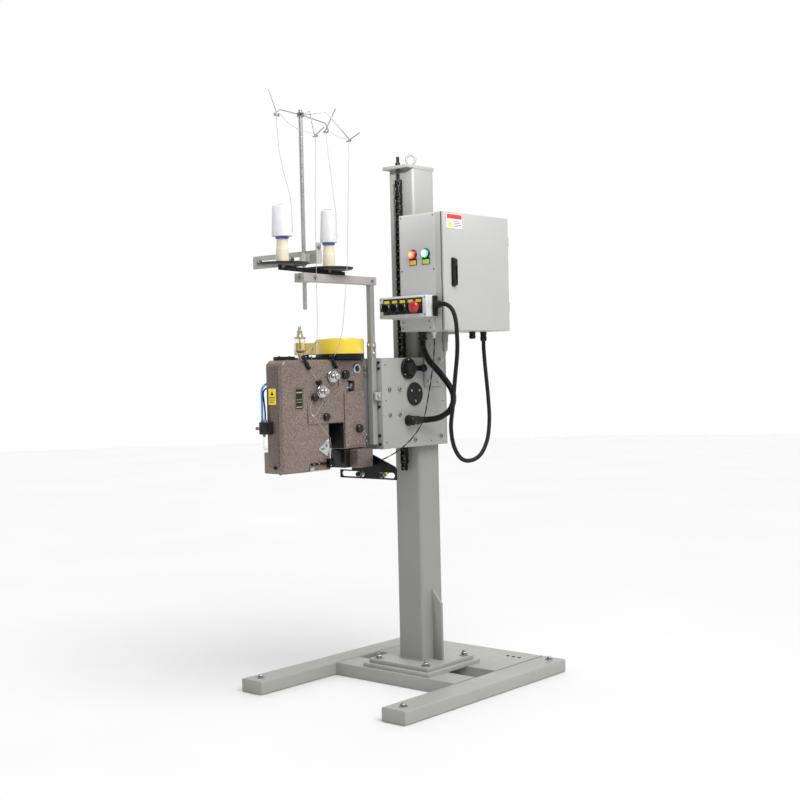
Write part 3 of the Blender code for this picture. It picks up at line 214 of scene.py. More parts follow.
def slot_line(low, high, level, radius, steps=8):
    """Outline of a long hole with round ends, from low to high along the first coordinate."""
    right = circle((high - radius, level), radius, steps, -pi / 2, pi)
    left = circle((low + radius, level), radius, steps, pi / 2, pi)
    return right + left


def cut(bm, tools):
    """Cuts closed tools from a closed shape with exact booleans."""
    def as_object(shape):
        mesh = bpy.data.meshes.new("cut")
        shape.to_mesh(mesh)
        shape.free()
        obj = bpy.data.objects.new("cut", mesh)
        bpy.context.scene.collection.objects.link(obj)
        return obj

    base = as_object(bm)
    for tool in tools:
        cutter = as_object(tool)
        modifier = base.modifiers.new("cut", "BOOLEAN")
        modifier.operation = "DIFFERENCE"
        modifier.object = cutter
        bpy.context.view_layer.update()
        mesh = bpy.data.meshes.new_from_object(base.evaluated_get(bpy.context.evaluated_depsgraph_get()))
        base.modifiers.clear()
        base.data = mesh
        bpy.data.objects.remove(cutter)
    result = bmesh.new()
    result.from_mesh(base.data)
    bpy.data.objects.remove(base)
    return result


def spun(bm, angle, axis, centre):
    """Turns a shape about an axis through a centre."""
    bmesh.ops.rotate(bm, verts=bm.verts, cent=Vector(centre),
                     matrix=Matrix.Rotation(angle, 3, "XYZ"[axis]))
    return bm


def turns(count, start=0.0):
    """Angles set evenly round a full turn."""
    return [start + 2 * pi * k / count for k in range(count)]


def rib_ring(count, axis, centre, reach, along, size, width=0.0003, start=0.0):
    """Small blocks set evenly round an axis: out from it by the reach, and along it from the centre."""
    middle = Vector(centre)
    middle[others(axis)[0]] += reach
    middle[axis] += along
    return [spun(around(middle, size, width, 1), angle, axis, centre) for angle in turns(count, start)]


def piece(name, look, shapes, nodes=(), body="carriage", smooth=32, origin=(0.0, 0.0, 0.0)):
    """Joins shapes into one piece that rides on a body and stands for the CAD nodes named."""
    mesh = bpy.data.meshes.new(name)
    whole = bmesh.new()
    for shape in shapes:
        part = bpy.data.meshes.new("part")
        shape.to_mesh(part)
        shape.free()
        whole.from_mesh(part)
        bpy.data.meshes.remove(part)
    bmesh.ops.translate(whole, verts=whole.verts, vec=-Vector(origin))
    whole.to_mesh(mesh)
    whole.free()
    mesh.shade_smooth()
    mesh.set_sharp_from_angle(angle=radians(smooth))
    mesh.materials.append(LOOK[look])
    obj = bpy.data.objects.new(name, mesh)
    obj.location = origin
    bpy.context.scene.collection.objects.link(obj)
    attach(obj, body)
    if nodes:
        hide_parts(*nodes)
    return obj


# ---- fasteners: each stands out from a face along its axis, in the direction of sign ----

def socket_screw(centre, axis, sign=1, radius=0.005, height=0.005):
    profile = [(0.0, radius), (height * 0.75, radius), (height, radius * 0.86), (height, radius * 0.5),
               (height * 0.45, radius * 0.46), (height * 0.4, 0.0001)]
    return turned([(sign * along, r) for along, r in profile], axis, centre, 18)


def domed_screw(centre, axis, sign=1, radius=0.004, height=0.002):
    profile = [(0.0, radius), (height * 0.4, radius), (height * 0.8, radius * 0.75),
               (height, radius * 0.4), (height * 0.5, radius * 0.25), (height * 0.5, 0.0001)]
    return turned([(sign * along, r) for along, r in profile], axis, centre, 16)


def hex_bolt(centre, axis, sign=1, radius=0.009, height=0.008, washer=1.45):
    plate = [(0.0, radius * washer), (0.0016, radius * washer), (0.002, radius * (washer - 0.08)),
             (0.002, 0.0001)]
    head = [(0.0018, radius), (height * 0.82, radius), (height, radius * 0.84), (height, 0.0001)]
    return [turned([(sign * along, r) for along, r in plate], axis, centre, 24),
            turned([(sign * along, r) for along, r in head], axis, centre, 6)]


def ring_about(centre, axis, radius, stock, turns=32, sides=10):
    first, second = others(axis)
    points = []
    for u, v in circle((0.0, 0.0), radius, turns):
        point = list(centre)
        point[first] += u
        point[second] += v
        points.append(point)
    return tube(points, stock, sides, closed=True)


# ---------------------------------------------------------------- materials

def node_of(mat, kind, **values):
    """Adds a shader node and sets its properties, or its inputs where the name is an input's."""
    node = mat.node_tree.nodes.new(kind)
    for name, value in values.items():
        if hasattr(node, name):
            setattr(node, name, value)
        else:
            node.inputs[name.replace("_", " ")].default_value = value
    return node


def link(mat, out, into):
    """Joins an output socket to an input socket."""
    mat.node_tree.links.new(out, into)


def coordinates(mat, stretch=None):
    """The piece's own coordinates, stretched along the axes if asked."""
    source = node_of(mat, "ShaderNodeTexCoord")
    if stretch is None:
        return source.outputs["Object"]
    mapping = node_of(mat, "ShaderNodeMapping")
    mapping.inputs["Scale"].default_value = stretch
    link(mat, source.outputs["Object"], mapping.inputs["Vector"])
    return mapping.outputs["Vector"]


def noise(mat, scale, detail=3.0, stretch=None, rough=0.5):
    """A noise texture's factor on the piece's own coordinates."""
    node = node_of(mat, "ShaderNodeTexNoise")
    node.inputs["Scale"].default_value = scale
    node.inputs["Detail"].default_value = detail
    node.inputs["Roughness"].default_value = rough
    link(mat, coordinates(mat, stretch), node.inputs["Vector"])
    return node.outputs["Fac"]


def remap(mat, value, low, high, out_low, out_high):
    """Carries a value from one range to another."""
    node = node_of(mat, "ShaderNodeMapRange")
    for name, number in zip(("From Min", "From Max", "To Min", "To Max"), (low, high, out_low, out_high)):
        node.inputs[name].default_value = number
    link(mat, value, node.inputs["Value"])
    return node.outputs["Result"]


def blend_colours(mat, factor, one, two):
    """A mix of two colours, each a tuple or a socket."""
    node = node_of(mat, "ShaderNodeMix", data_type="RGBA")
    sockets = [s for s in node.inputs if s.enabled]
    link(mat, factor, sockets[0])
    for socket, colour in zip(sockets[1:3], (one, two)):
        if isinstance(colour, tuple):
            socket.default_value = (*colour, 1.0)
        else:
            link(mat, colour, socket)
    return [s for s in node.outputs if s.enabled][0]


def bump(mat, height, distance, strength=1.0, below=None):
    node = node_of(mat, "ShaderNodeBump")
    node.inputs["Strength"].default_value = strength
    node.inputs["Distance"].default_value = distance
    link(mat, height, node.inputs["Height"])
    if below is not None:
        link(mat, below, node.inputs["Normal"])
    return node.outputs["Normal"]


def shade(colour, factor):
    """A colour made darker or lighter."""
    return tuple(min(1.0, channel * factor) for channel in colour)


def start_material(name, metallic, specular=0.5, coat=0.0, coat_roughness=0.1):
    mat = bpy.data.materials.new(name)
    mat.use_nodes = True
    shader = mat.node_tree.nodes["Principled BSDF"]
    shader.inputs["Metallic"].default_value = metallic
    shader.inputs["Specular IOR Level"].default_value = specular
    shader.inputs["Coat Weight"].default_value = coat
    shader.inputs["Coat Roughness"].default_value = coat_roughness
    return mat, shader


def painted(name, colour, roughness, mottle, dirt=0.0, peel=0.00006, peel_scale=260.0, coat=0.0):
    """Sprayed paint: slight mottling, orange peel and a few rubbed, shinier patches."""
    mat, shader = start_material(name, 0.0, 0.45, coat)
    cloud = noise(mat, 5.0, 5.0)
    base = blend_colours(mat, remap(mat, cloud, 0.35, 0.65, 0.0, 1.0), shade(colour, 1 - mottle),
                         shade(colour, 1 + mottle))
    if dirt > 0:
        dust = remap(mat, noise(mat, 38.0, 8.0, rough=0.7), 0.58, 0.78, 0.0, dirt)
        base = blend_colours(mat, dust, base, shade(colour, 0.55))
    link(mat, base, shader.inputs["Base Color"])
    rub = noise(mat, 22.0, 6.0, rough=0.65)
    link(mat, remap(mat, rub, 0.3, 0.7, roughness - 0.06, roughness + 0.1), shader.inputs["Roughness"])
    grain = bump(mat, noise(mat, peel_scale, 2.0), peel)
    link(mat, bump(mat, noise(mat, peel_scale * 4.5, 2.0), peel * 0.35, below=grain),
         shader.inputs["Normal"])
    return mat


def hammered(name, dark, mid, light, size=330.0):
    """Hammer-finish enamel: round shallow dimples with a lighter skin between darker specks."""
    mat, shader = start_material(name, 0.35, 0.5, 0.25, 0.25)
    cells = node_of(mat, "ShaderNodeTexVoronoi", feature="SMOOTH_F1")
    cells.inputs["Scale"].default_value = size
    cells.inputs["Smoothness"].default_value = 0.6
    link(mat, coordinates(mat), cells.inputs["Vector"])
    speck = noise(mat, size * 1.15, 3.0, rough=0.6)
    first = blend_colours(mat, remap(mat, cells.outputs["Distance"], 0.1, 0.75, 0.0, 1.0), light, mid)
    base = blend_colours(mat, remap(mat, speck, 0.5, 0.66, 0.0, 0.9), first, dark)
    cloud = remap(mat, noise(mat, 9.0, 4.0), 0.3, 0.7, 0.0, 0.22)
    base = blend_colours(mat, cloud, base, shade(mid, 0.75))
    link(mat, base, shader.inputs["Base Color"])
    link(mat, remap(mat, speck, 0.3, 0.7, 0.34, 0.52), shader.inputs["Roughness"])
    dimple = bump(mat, cells.outputs["Distance"], 0.0005, 0.8)
    link(mat, bump(mat, noise(mat, size * 3, 2.0), 0.00008, below=dimple), shader.inputs["Normal"])
    return mat


def metal(name, colour, roughness, tarnish=0.08, brush=(1.0, 1.0, 1.0)):
    """Bare or plated metal with brush marks along the unstretched axis and a little tarnish."""
    mat, shader = start_material(name, 1.0)
    stain = remap(mat, noise(mat, 60.0, 5.0, rough=0.6), 0.35, 0.72, 0.0, 1.0)
    link(mat, blend_colours(mat, stain, colour, shade(colour, 1 - tarnish)), shader.inputs["Base Color"])
    marks = noise(mat, 160.0, 4.0, brush)
    link(mat, remap(mat, marks, 0.25, 0.75, roughness * 0.75, roughness * 1.35),
         shader.inputs["Roughness"])
    link(mat, bump(mat, marks, 0.00002), shader.inputs["Normal"])
    return mat


def moulded(name, colour, roughness, grain=700.0, depth=0.00005, specular=0.45, coat=0.0):
    """Moulded plastic or rubber: spark-eroded grain with slight sheen changes."""
    mat, shader = start_material(name, 0.0, specular, coat)
    cloud = remap(mat, noise(mat, 26.0, 4.0), 0.35, 0.65, 0.0, 1.0)
    link(mat, blend_colours(mat, cloud, shade(colour, 0.92), shade(colour, 1.08)),
         shader.inputs["Base Color"])
    link(mat, remap(mat, noise(mat, 70.0, 5.0), 0.3, 0.7, roughness - 0.06, roughness + 0.08),
         shader.inputs["Roughness"])
    link(mat, bump(mat, noise(mat, grain, 2.0), depth), shader.inputs["Normal"])
    return mat


def wound_thread(name, colour):
    """Cross-wound thread on a cone whose axis is the piece's own Z axis."""
    mat, shader = start_material(name, 0.0, 0.2)
    shader.inputs["Sheen Weight"].default_value = 0.35
    parts = node_of(mat, "ShaderNodeSeparateXYZ")
    link(mat, coordinates(mat), parts.inputs["Vector"])
    angle = node_of(mat, "ShaderNodeMath", operation="ARCTAN2")
    link(mat, parts.outputs["Y"], angle.inputs[0])
    link(mat, parts.outputs["X"], angle.inputs[1])
    waves = []
    for way in (3.0, -3.0):
        climb = node_of(mat, "ShaderNodeMath", operation="MULTIPLY")
        climb.inputs[1].default_value = 2600.0
        link(mat, parts.outputs["Z"], climb.inputs[0])
        mixed = node_of(mat, "ShaderNodeMath", operation="MULTIPLY_ADD")
        mixed.inputs[1].default_value = way
        link(mat, angle.outputs[0], mixed.inputs[0])
        link(mat, climb.outputs[0], mixed.inputs[2])
        wave = node_of(mat, "ShaderNodeMath", operation="SINE")
        link(mat, mixed.outputs[0], wave.inputs[0])
        waves.append(wave.outputs[0])
    top = node_of(mat, "ShaderNodeMath", operation="MAXIMUM")
    link(mat, waves[0], top.inputs[0])
    link(mat, waves[1], top.inputs[1])
    groove = remap(mat, top.outputs[0], -0.4, 1.0, 0.0, 1.0)
    fuzz = remap(mat, noise(mat, 55.0, 5.0), 0.35, 0.65, 0.0, 1.0)
    soft = blend_colours(mat, fuzz, shade(colour, 0.93), colour)
    # painted shade: the colour is darker in the grooves between the crossed windings
    link(mat, blend_colours(mat, groove, shade(colour, 0.8), soft), shader.inputs["Base Color"])
    shader.inputs["Roughness"].default_value = 0.85
    rough = bump(mat, groove, 0.0004, 0.9)
    link(mat, bump(mat, noise(mat, 1800.0, 2.0), 0.0001, below=rough), shader.inputs["Normal"])
    return mat


def spun_thread(name, colour):
    """Twisted sewing thread."""
    mat, shader = start_material(name, 0.0, 0.2)
    shader.inputs["Sheen Weight"].default_value = 0.3
    shader.inputs["Roughness"].default_value = 0.8
    twist = noise(mat, 900.0, 2.0)
    link(mat, blend_colours(mat, twist, shade(colour, 0.85), colour), shader.inputs["Base Color"])
    link(mat, bump(mat, twist, 0.0002), shader.inputs["Normal"])
    return mat


def clear(name, tint, roughness=0.04):
    """Glass, clear hose or oil, with faint smears."""
    mat, shader = start_material(name, 0.0)
    shader.inputs["Transmission Weight"].default_value = 1.0
    shader.inputs["IOR"].default_value = 1.45
    shader.inputs["Base Color"].default_value = (*tint, 1.0)
    smear = noise(mat, 45.0, 4.0)
    link(mat, remap(mat, smear, 0.4, 0.7, roughness, roughness + 0.08), shader.inputs["Roughness"])
    return mat


def glowing(name, core, rim, radius=0.0116, strength=2.2):
    """A lit lens: bright at its middle, deeper in colour at its rim, with moulded ribs."""
    mat, shader = start_material(name, 0.0, 0.5, 0.6, 0.05)
    reach = node_of(mat, "ShaderNodeVectorMath", operation="LENGTH")
    link(mat, coordinates(mat, (1.0, 0.0, 1.0)), reach.inputs[0])
    fade = remap(mat, reach.outputs["Value"], radius * 0.25, radius * 0.95, 0.0, 1.0)
    glow = blend_colours(mat, fade, core, rim)
    link(mat, glow, shader.inputs["Emission Color"])
    link(mat, glow, shader.inputs["Base Color"])
    shader.inputs["Emission Strength"].default_value = strength
    shader.inputs["Roughness"].default_value = 0.2
    link(mat, bump(mat, noise(mat, 420.0, 1.0), 0.0003), shader.inputs["Normal"])
    return mat


def printed(name, colour, line):
    """A plain label film with faint unprinted texture."""
    mat, shader = start_material(name, 0.0, 0.4, 0.2)
    cloud = remap(mat, noise(mat, 120.0, 4.0), 0.4, 0.7, 0.0, 1.0)
    link(mat, blend_colours(mat, cloud, colour, line), shader.inputs["Base Color"])
    shader.inputs["Roughness"].default_value = 0.35
    link(mat, bump(mat, noise(mat, 500.0, 2.0), 0.00002), shader.inputs["Normal"])
    return mat


# colour, roughness, mottle, dirt, depth and scale of the orange peel, clear coat
PAINTS = {
    "frame_paint": ((0.312, 0.312, 0.288), 0.42, 0.03, 0.1),
    "column_paint": ((0.262, 0.265, 0.246), 0.42, 0.03, 0.06),
    "plate_paint": ((0.33, 0.332, 0.316), 0.42, 0.03, 0.08),
    "cabinet_paint": ((0.452, 0.452, 0.44), 0.48, 0.02, 0.0, 0.00005, 420.0),
    "panel_paint": ((0.52, 0.525, 0.52), 0.4, 0.02, 0.0, 0.00004, 420.0),
    "arm_paint": ((0.37, 0.35, 0.328), 0.36, 0.04),
    "yellow_paint": ((0.72, 0.54, 0.04), 0.16, 0.03, 0.0, 0.00008, 120.0, 0.9),
    "bar_paint": ((0.4, 0.4, 0.385), 0.42, 0.04, 0.06),
    "motor_grey": ((0.11, 0.12, 0.125), 0.42, 0.06, 0.05),
}
# colour, roughness, tarnish, stretch of the brush marks
METALS = {
    "black_oxide": ((0.035, 0.034, 0.036), 0.38, 0.3),
    "steel": ((0.6, 0.6, 0.59), 0.3),
    "rod_steel": ((0.4, 0.39, 0.38), 0.26, 0.08, (1.0, 1.0, 0.04)),
    "sheet_steel": ((0.62, 0.61, 0.58), 0.36, 0.08, (0.05, 1.0, 1.0)),
    "chrome": ((0.58, 0.58, 0.59), 0.14, 0.1),
    "brass": ((0.7, 0.62, 0.42), 0.28, 0.15),
    "bolt_zinc": ((0.52, 0.5, 0.44), 0.34, 0.2),
    "bolt_steel": ((0.33, 0.33, 0.33), 0.36, 0.25),
    "black_bolt": ((0.045, 0.044, 0.046), 0.33, 0.25),
    "chain_steel": ((0.055, 0.052, 0.05), 0.34, 0.45),
    "chain_roller": ((0.075, 0.072, 0.07), 0.3, 0.35),
}
# colour, roughness, scale and depth of the grain, specular, clear coat
PLASTICS = {
    "black_plastic": ((0.011, 0.011, 0.012), 0.4, 700.0, 0.00005, 0.25),
    "gloss_black": ((0.008, 0.008, 0.009), 0.22, 300.0, 0.00002, 0.35, 0.15),
    "tray_plastic": ((0.014, 0.014, 0.015), 0.42, 500.0, 0.00008),
    "cream_plastic": ((0.8, 0.75, 0.57), 0.4, 500.0, 0.00004),
    "blue_plastic": ((0.05, 0.12, 0.42), 0.35),
    "box_plastic": ((0.6, 0.61, 0.625), 0.5, 520.0, 0.00008),
    "red_plastic": ((0.46, 0.016, 0.016), 0.28, 600.0, 0.00002, 0.5, 0.3),
    "white_plastic": ((0.78, 0.78, 0.76), 0.35),
    "rubber": ((0.01, 0.01, 0.011), 0.46, 900.0, 0.00006, 0.22),
    "belt_rubber": ((0.02, 0.019, 0.018), 0.62, 300.0, 0.0001),
    # near-black: the own colour of the name plate and latch seat, and painted shade in holes, slits,
    # vents, the throat and the window
    "black_void": ((0.006, 0.006, 0.006), 0.65, 200.0),
    "blue_tube": ((0.05, 0.3, 0.72), 0.25, 300.0, 0.00001, 0.5, 0.3),
}
# colour of the film, colour of its clouds
LABELS = {
    "label_yellow": ((0.9, 0.74, 0.03), (0.86, 0.66, 0.03)),
    "label_white": ((0.84, 0.84, 0.83), (0.8, 0.8, 0.8)),
    "label_red": ((0.72, 0.03, 0.04), (0.66, 0.03, 0.04)),
    "label_black": ((0.012, 0.012, 0.012), (0.02, 0.02, 0.02)),
    "label_gold": ((0.42, 0.34, 0.16), (0.37, 0.3, 0.13)),
    "legend_orange": ((0.86, 0.5, 0.05), (0.8, 0.44, 0.05)),
    "legend_green": ((0.45, 0.72, 0.08), (0.4, 0.66, 0.08)),
}
LOOK = {
    "hammertone": hammered("hammertone", (0.045, 0.028, 0.022), (0.172, 0.124, 0.105),
                           (0.36, 0.29, 0.26)),
    # a dimmed copy of the hammertone, painted shade for parts that stand in shadow: the narrow end's cover
    # and the feed cover
    "hammertone_painted_shade": hammered("hammertone_painted_shade", (0.032, 0.02, 0.016), (0.12, 0.086, 0.072),
                               (0.24, 0.19, 0.17)),
    "clear_tube": clear("clear_tube", (0.92, 0.94, 0.93), 0.12),
    "glass": clear("glass", (0.96, 0.97, 0.94)),
    "oil": clear("oil", (0.85, 0.7, 0.3)),
    "cone_thread": wound_thread("cone_thread", (0.84, 0.84, 0.87)),
    "thread": spun_thread("thread", (0.5, 0.49, 0.47)),
    "red_lamp": glowing("red_lamp", (1.0, 0.36, 0.1), (1.0, 0.015, 0.02)),
    "green_lamp": glowing("green_lamp", (0.8, 1.0, 0.88), (0.01, 0.62, 0.26)),
}
for make, kinds in ((painted, PAINTS), (metal, METALS), (moulded, PLASTICS), (printed, LABELS)):
    for name, values in kinds.items():
        LOOK[name] = make(name, *values)


# ---------------------------------------------------------------- places that several pieces share

CHAIN_Y = -0.062                                  # the chain hangs in front of the column
HEAD_PULLEY, MOTOR_PULLEY = (0.01, -0.35), (-0.115, -0.36)
TENSIONS = {"tension_unit_upper": (-0.426, 0.948), "tension_unit_lower": (-0.471, 0.906)}
POST = (0.042, -0.52)                            # the thread stand's post
BAR_MIDDLE, BAR_TURN = (0.052, -0.52), radians(11)
CONES = {"left": (0.028, 0.0245, 1.413), "right": (0.024, 0.02, 1.421)}   # low and top radius, top
CONE_LOW = 1.329


def place_on_bar(along):
    """A point on the tray bar, that far from its middle."""
    return BAR_MIDDLE[0] - sin(BAR_TURN) * along, BAR_MIDDLE[1] + cos(BAR_TURN) * along


CONE_PLACES = {"left": place_on_bar(-0.115), "right": place_on_bar(0.115)}


def guide_eyes():
    """Middles of the thread eyes: rear left and rear right over the cones, front left and front right."""
    left, right = CONE_PLACES["left"], CONE_PLACES["right"]
    return (Vector((left[0], left[1] - 0.01, 1.655)), Vector((right[0], right[1], 1.645)),
            Vector((0.07, -0.491, 1.617)), Vector((0.118, -0.407, 1.607)))


# ---------------------------------------------------------------- camera and cords

CAMERA_PLACE = (2.5991, -3.0766, 0.9607)
CAMERA_AZIMUTH, CAMERA_FALL, CAMERA_ROLL = radians(40.9), radians(1.31), radians(-1.28)


def make_camera():
    """Stands at the front right of the machine, at chest height, and looks almost level."""
    ahead = Vector((-sin(CAMERA_AZIMUTH) * cos(CAMERA_FALL), cos(CAMERA_AZIMUTH) * cos(CAMERA_FALL),
                    -sin(CAMERA_FALL)))
    level = Vector((cos(CAMERA_AZIMUTH), sin(CAMERA_AZIMUTH), 0.0))
    upright = level.cross(ahead)
    right = level * cos(CAMERA_ROLL) + upright * sin(CAMERA_ROLL)
    up = upright * cos(CAMERA_ROLL) - level * sin(CAMERA_ROLL)
    data = bpy.data.cameras.new("camera")
    data.sensor_width = 36.0
    data.lens = 58.17
    camera = bpy.data.objects.new("camera", data)
    turn = Matrix((right, up, -ahead)).transposed().to_4x4()
    camera.matrix_world = Matrix.Translation(CAMERA_PLACE) @ turn
    bpy.context.scene.collection.objects.link(camera)
    bpy.context.scene.camera = camera


CONTROL_CABLE = [(0.2418, -0.165, 1.15), (0.256, -0.165, 1.15), (0.28, -0.165, 1.136),
                 (0.292, -0.164, 1.11), (0.294, -0.16, 1.072), (0.283, -0.146, 1.01),
                 (0.258, -0.128, 0.93), (0.235, -0.112, 0.85), (0.219, -0.102, 0.79),
                 (0.208, -0.076, 0.732), (0.199, -0.03, 0.692), (0.193, 0.025, 0.683),
                 (0.189, 0.078, 0.698), (0.185, 0.118, 0.74), (0.182, 0.135, 0.8), (0.178, 0.137, 0.87),
                 (0.17, 0.135, 0.97), (0.165, 0.136, 1.025), (0.165, 0.136, 1.0457)]
HEAD_CONDUIT = [(0.11, -0.093, 1.0497), (0.11, -0.093, 1.03), (0.118, -0.076, 0.99), (0.133, -0.042, 0.95),
                (0.147, -0.01, 0.905), (0.15, -0.001, 0.87), (0.143, -0.012, 0.836),
                (0.124, -0.037, 0.816), (0.104, -0.06, 0.8105), (0.0923, -0.083, 0.81),
                (0.0923, -0.0974, 0.81)]
SENSOR_CABLE = [(0.138, -0.072, 1.0547), (0.138, -0.072, 1.04), (0.149, -0.09, 1.0), (0.15, -0.1, 0.957),
                (0.145, -0.115, 0.88), (0.141, -0.134, 0.815), (0.128, -0.16, 0.77),
                (0.108, -0.195, 0.733), (0.092, -0.232, 0.711), (0.082, -0.262, 0.7),
                (0.082, -0.275, 0.7)]


def curve_point(p0, p1, p2, p3, t):
    """The point a fraction t of the way from p1 to p2, on the smooth curve through four knots."""
    square = (2 * p0 - 5 * p1 + 4 * p2 - p3) * t * t
    return 0.5 * (2 * p1 + (p2 - p0) * t + square + (3 * p1 - p0 - 3 * p2 + p3) * t ** 3)


def bent(route, step=0.003):
    """A smooth curve through all the points of a short route."""
    knots = [Vector(point) for point in route]
    knots = [knots[0] * 2 - knots[1]] + knots + [knots[-1] * 2 - knots[-2]]
    points = []
    for i in range(1, len(knots) - 2):
        steps = max(2, round((knots[i + 1] - knots[i]).length / step))
        points.extend(curve_point(*knots[i - 1:i + 3], k / steps) for k in range(steps))
    return points + [knots[-2]]


def smooth_route(route, step):
    """Points every step or so on a smooth curve through the route, whose end legs stay straight."""
    knots = [Vector(point) for point in route]
    fine = [knots[0]]
    for i in range(1, len(knots) - 2):
        fine.extend(curve_point(*knots[i - 1:i + 3], k / 24) for k in range(24))
    fine.extend([knots[-2], knots[-1]])
    lengths = [0.0]
    for one, two in zip(fine, fine[1:]):
        lengths.append(lengths[-1] + (two - one).length)
    count = max(2, round(lengths[-1] / step))
    points = []
    place = 0
    for k in range(count + 1):
        target = lengths[-1] * k / count
        while place < len(fine) - 2 and lengths[place + 1] < target:
            place += 1
        span = lengths[place + 1] - lengths[place]
        points.append(fine[place].lerp(fine[place + 1], (target - lengths[place]) / span))
    return points


def ribbed(points, radius, depth, rings):
    """A corrugated hose: the points lie a fraction of a rib apart, rings of them to each rib."""
    radii = [radius - depth * (0.5 - 0.5 * cos(2 * pi * (i % rings) / rings)) for i in range(len(points))]
    return tube(points, radii, 18)


def thread_routes():
    """Both threads' routes, from the cones through the eyes to the guides on the head."""
    left, right = CONE_PLACES["left"], CONE_PLACES["right"]
    rear_left, rear_right, front_left, front_right = guide_eyes()
    over, under = Vector((0, 0, 0.0055)), Vector((0, 0, -0.012))
    out = Vector((0.755, 0.656, 0.0))             # from a cone's axis to where its thread lies
    starts = []
    for side, (low_radius, top_radius, cone_top) in CONES.items():
        axis = Vector((*CONE_PLACES[side], 0.0))
        starts.append([axis + out * (low_radius + 0.0012) + Vector((0, 0, CONE_LOW + 0.01)),
                       axis + out * (top_radius + 0.003) + Vector((0, 0, cone_top - 0.006)),
                       axis + out * (top_radius - 0.001) + Vector((0, 0, cone_top + 0.03))])
    one = starts[0] + [(left[0] + 0.01, left[1] - 0.001, 1.51), (left[0] + 0.003, left[1] - 0.008, 1.57),
                       rear_left + under, rear_left + over, (0.0732, -0.63, 1.6605), (0.069, -0.6, 1.643),
                       (0.0655, -0.55, 1.627), front_left + over, front_left + under,
                       (0.069, -0.497, 1.45), (0.0686, -0.498, 1.3), (0.0682, -0.499, 1.1),
                       (0.066, -0.5, 1.052), (0.06, -0.506, 1.036), (0.051, -0.524, 1.018),
                       (0.0475, -0.538, 1.006)]
    two = starts[1] + [(right[0] + 0.01, right[1] + 0.006, 1.52), rear_right + under, rear_right + over,
                       (0.0415, -0.4074, 1.6505), (0.062, -0.408, 1.633), (0.09, -0.408, 1.618),
                       front_right + over, front_right + under, (0.113, -0.408, 1.48),
                       (0.107, -0.409, 1.33), (0.102, -0.41, 1.24), (0.092, -0.412, 1.15),
                       (0.083, -0.413, 1.08), (0.07, -0.416, 1.034), (0.055, -0.42, 1.006)]
    return one, two


def make_cords():
    """The hoses, the sensors' lead and the two threads."""
    for name, node, route, diameter, depth, step, stiffness in (("control_hose", "control_cable",
                                                                 CONTROL_CABLE, 0.013, 0.0007, 0.0009,
                                                                 "medium"), ("head_hose", "head_conduit",
                                                                             HEAD_CONDUIT, 0.02, 0.0018,
                                                                             0.0011, "stiff")):
        points = smooth_route(route, step)
        hose = piece(name, "rubber", [ribbed(points, diameter / 2, depth, 4)], (node,), smooth=60)
    # the sensors' lead is two thin strands laid round each other
    points = smooth_route(SENSOR_CABLE, 0.004)
    strands = []
    for start in (0.0, pi):
        line = []
        for i, point in enumerate(points):
            ahead = (points[min(i + 1, len(points) - 1)] - points[max(i - 1, 0)]).normalized()
            side = ahead.cross(Vector((1.0, 0.3, 0.1))).normalized()
            other = ahead.cross(side)
            turn = start + i * 0.36
            line.append(point + 0.00095 * (side * cos(turn) + other * sin(turn)))
        strands.append(tube(line, 0.00105, 8))
    lead = piece("sensor_lead", "rubber", strands, ("sensor_cable",), smooth=60)
    for side, route in zip(("left", "right"), thread_routes()):
        data = bpy.data.curves.new("thread_" + side, "CURVE")
        data.dimensions = "3D"
        data.bevel_depth = 0.00075
        data.bevel_resolution = 2
        data.use_fill_caps = True
        spline = data.splines.new("POLY")
        spline.points.add(len(route) - 1)
        for target, point in zip(spline.points, route):
            target.co = (*point, 1.0)
        data.materials.append(LOOK["thread"])
        line = bpy.data.objects.new("thread_" + side, data)
        bpy.context.scene.collection.objects.link(line)
        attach(line, "carriage")
        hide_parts("needle_thread_" + side)


# ---------------------------------------------------------------- base and column

def weld(points, radius=0.0022):
    """A welding bead: a bar with small even ripples."""
    line = []
    for one, two in zip(points, points[1:]):
        one, two = Vector(one), Vector(two)
        count = max(2, round((two - one).length / 0.0022))
        line.extend(one.lerp(two, k / count) for k in range(count))
    line.append(Vector(points[-1]))
    radii = [radius * (1.0 + 0.14 * sin(i * 2.1)) for i in range(len(line))]
    return tube(line, radii, 8)


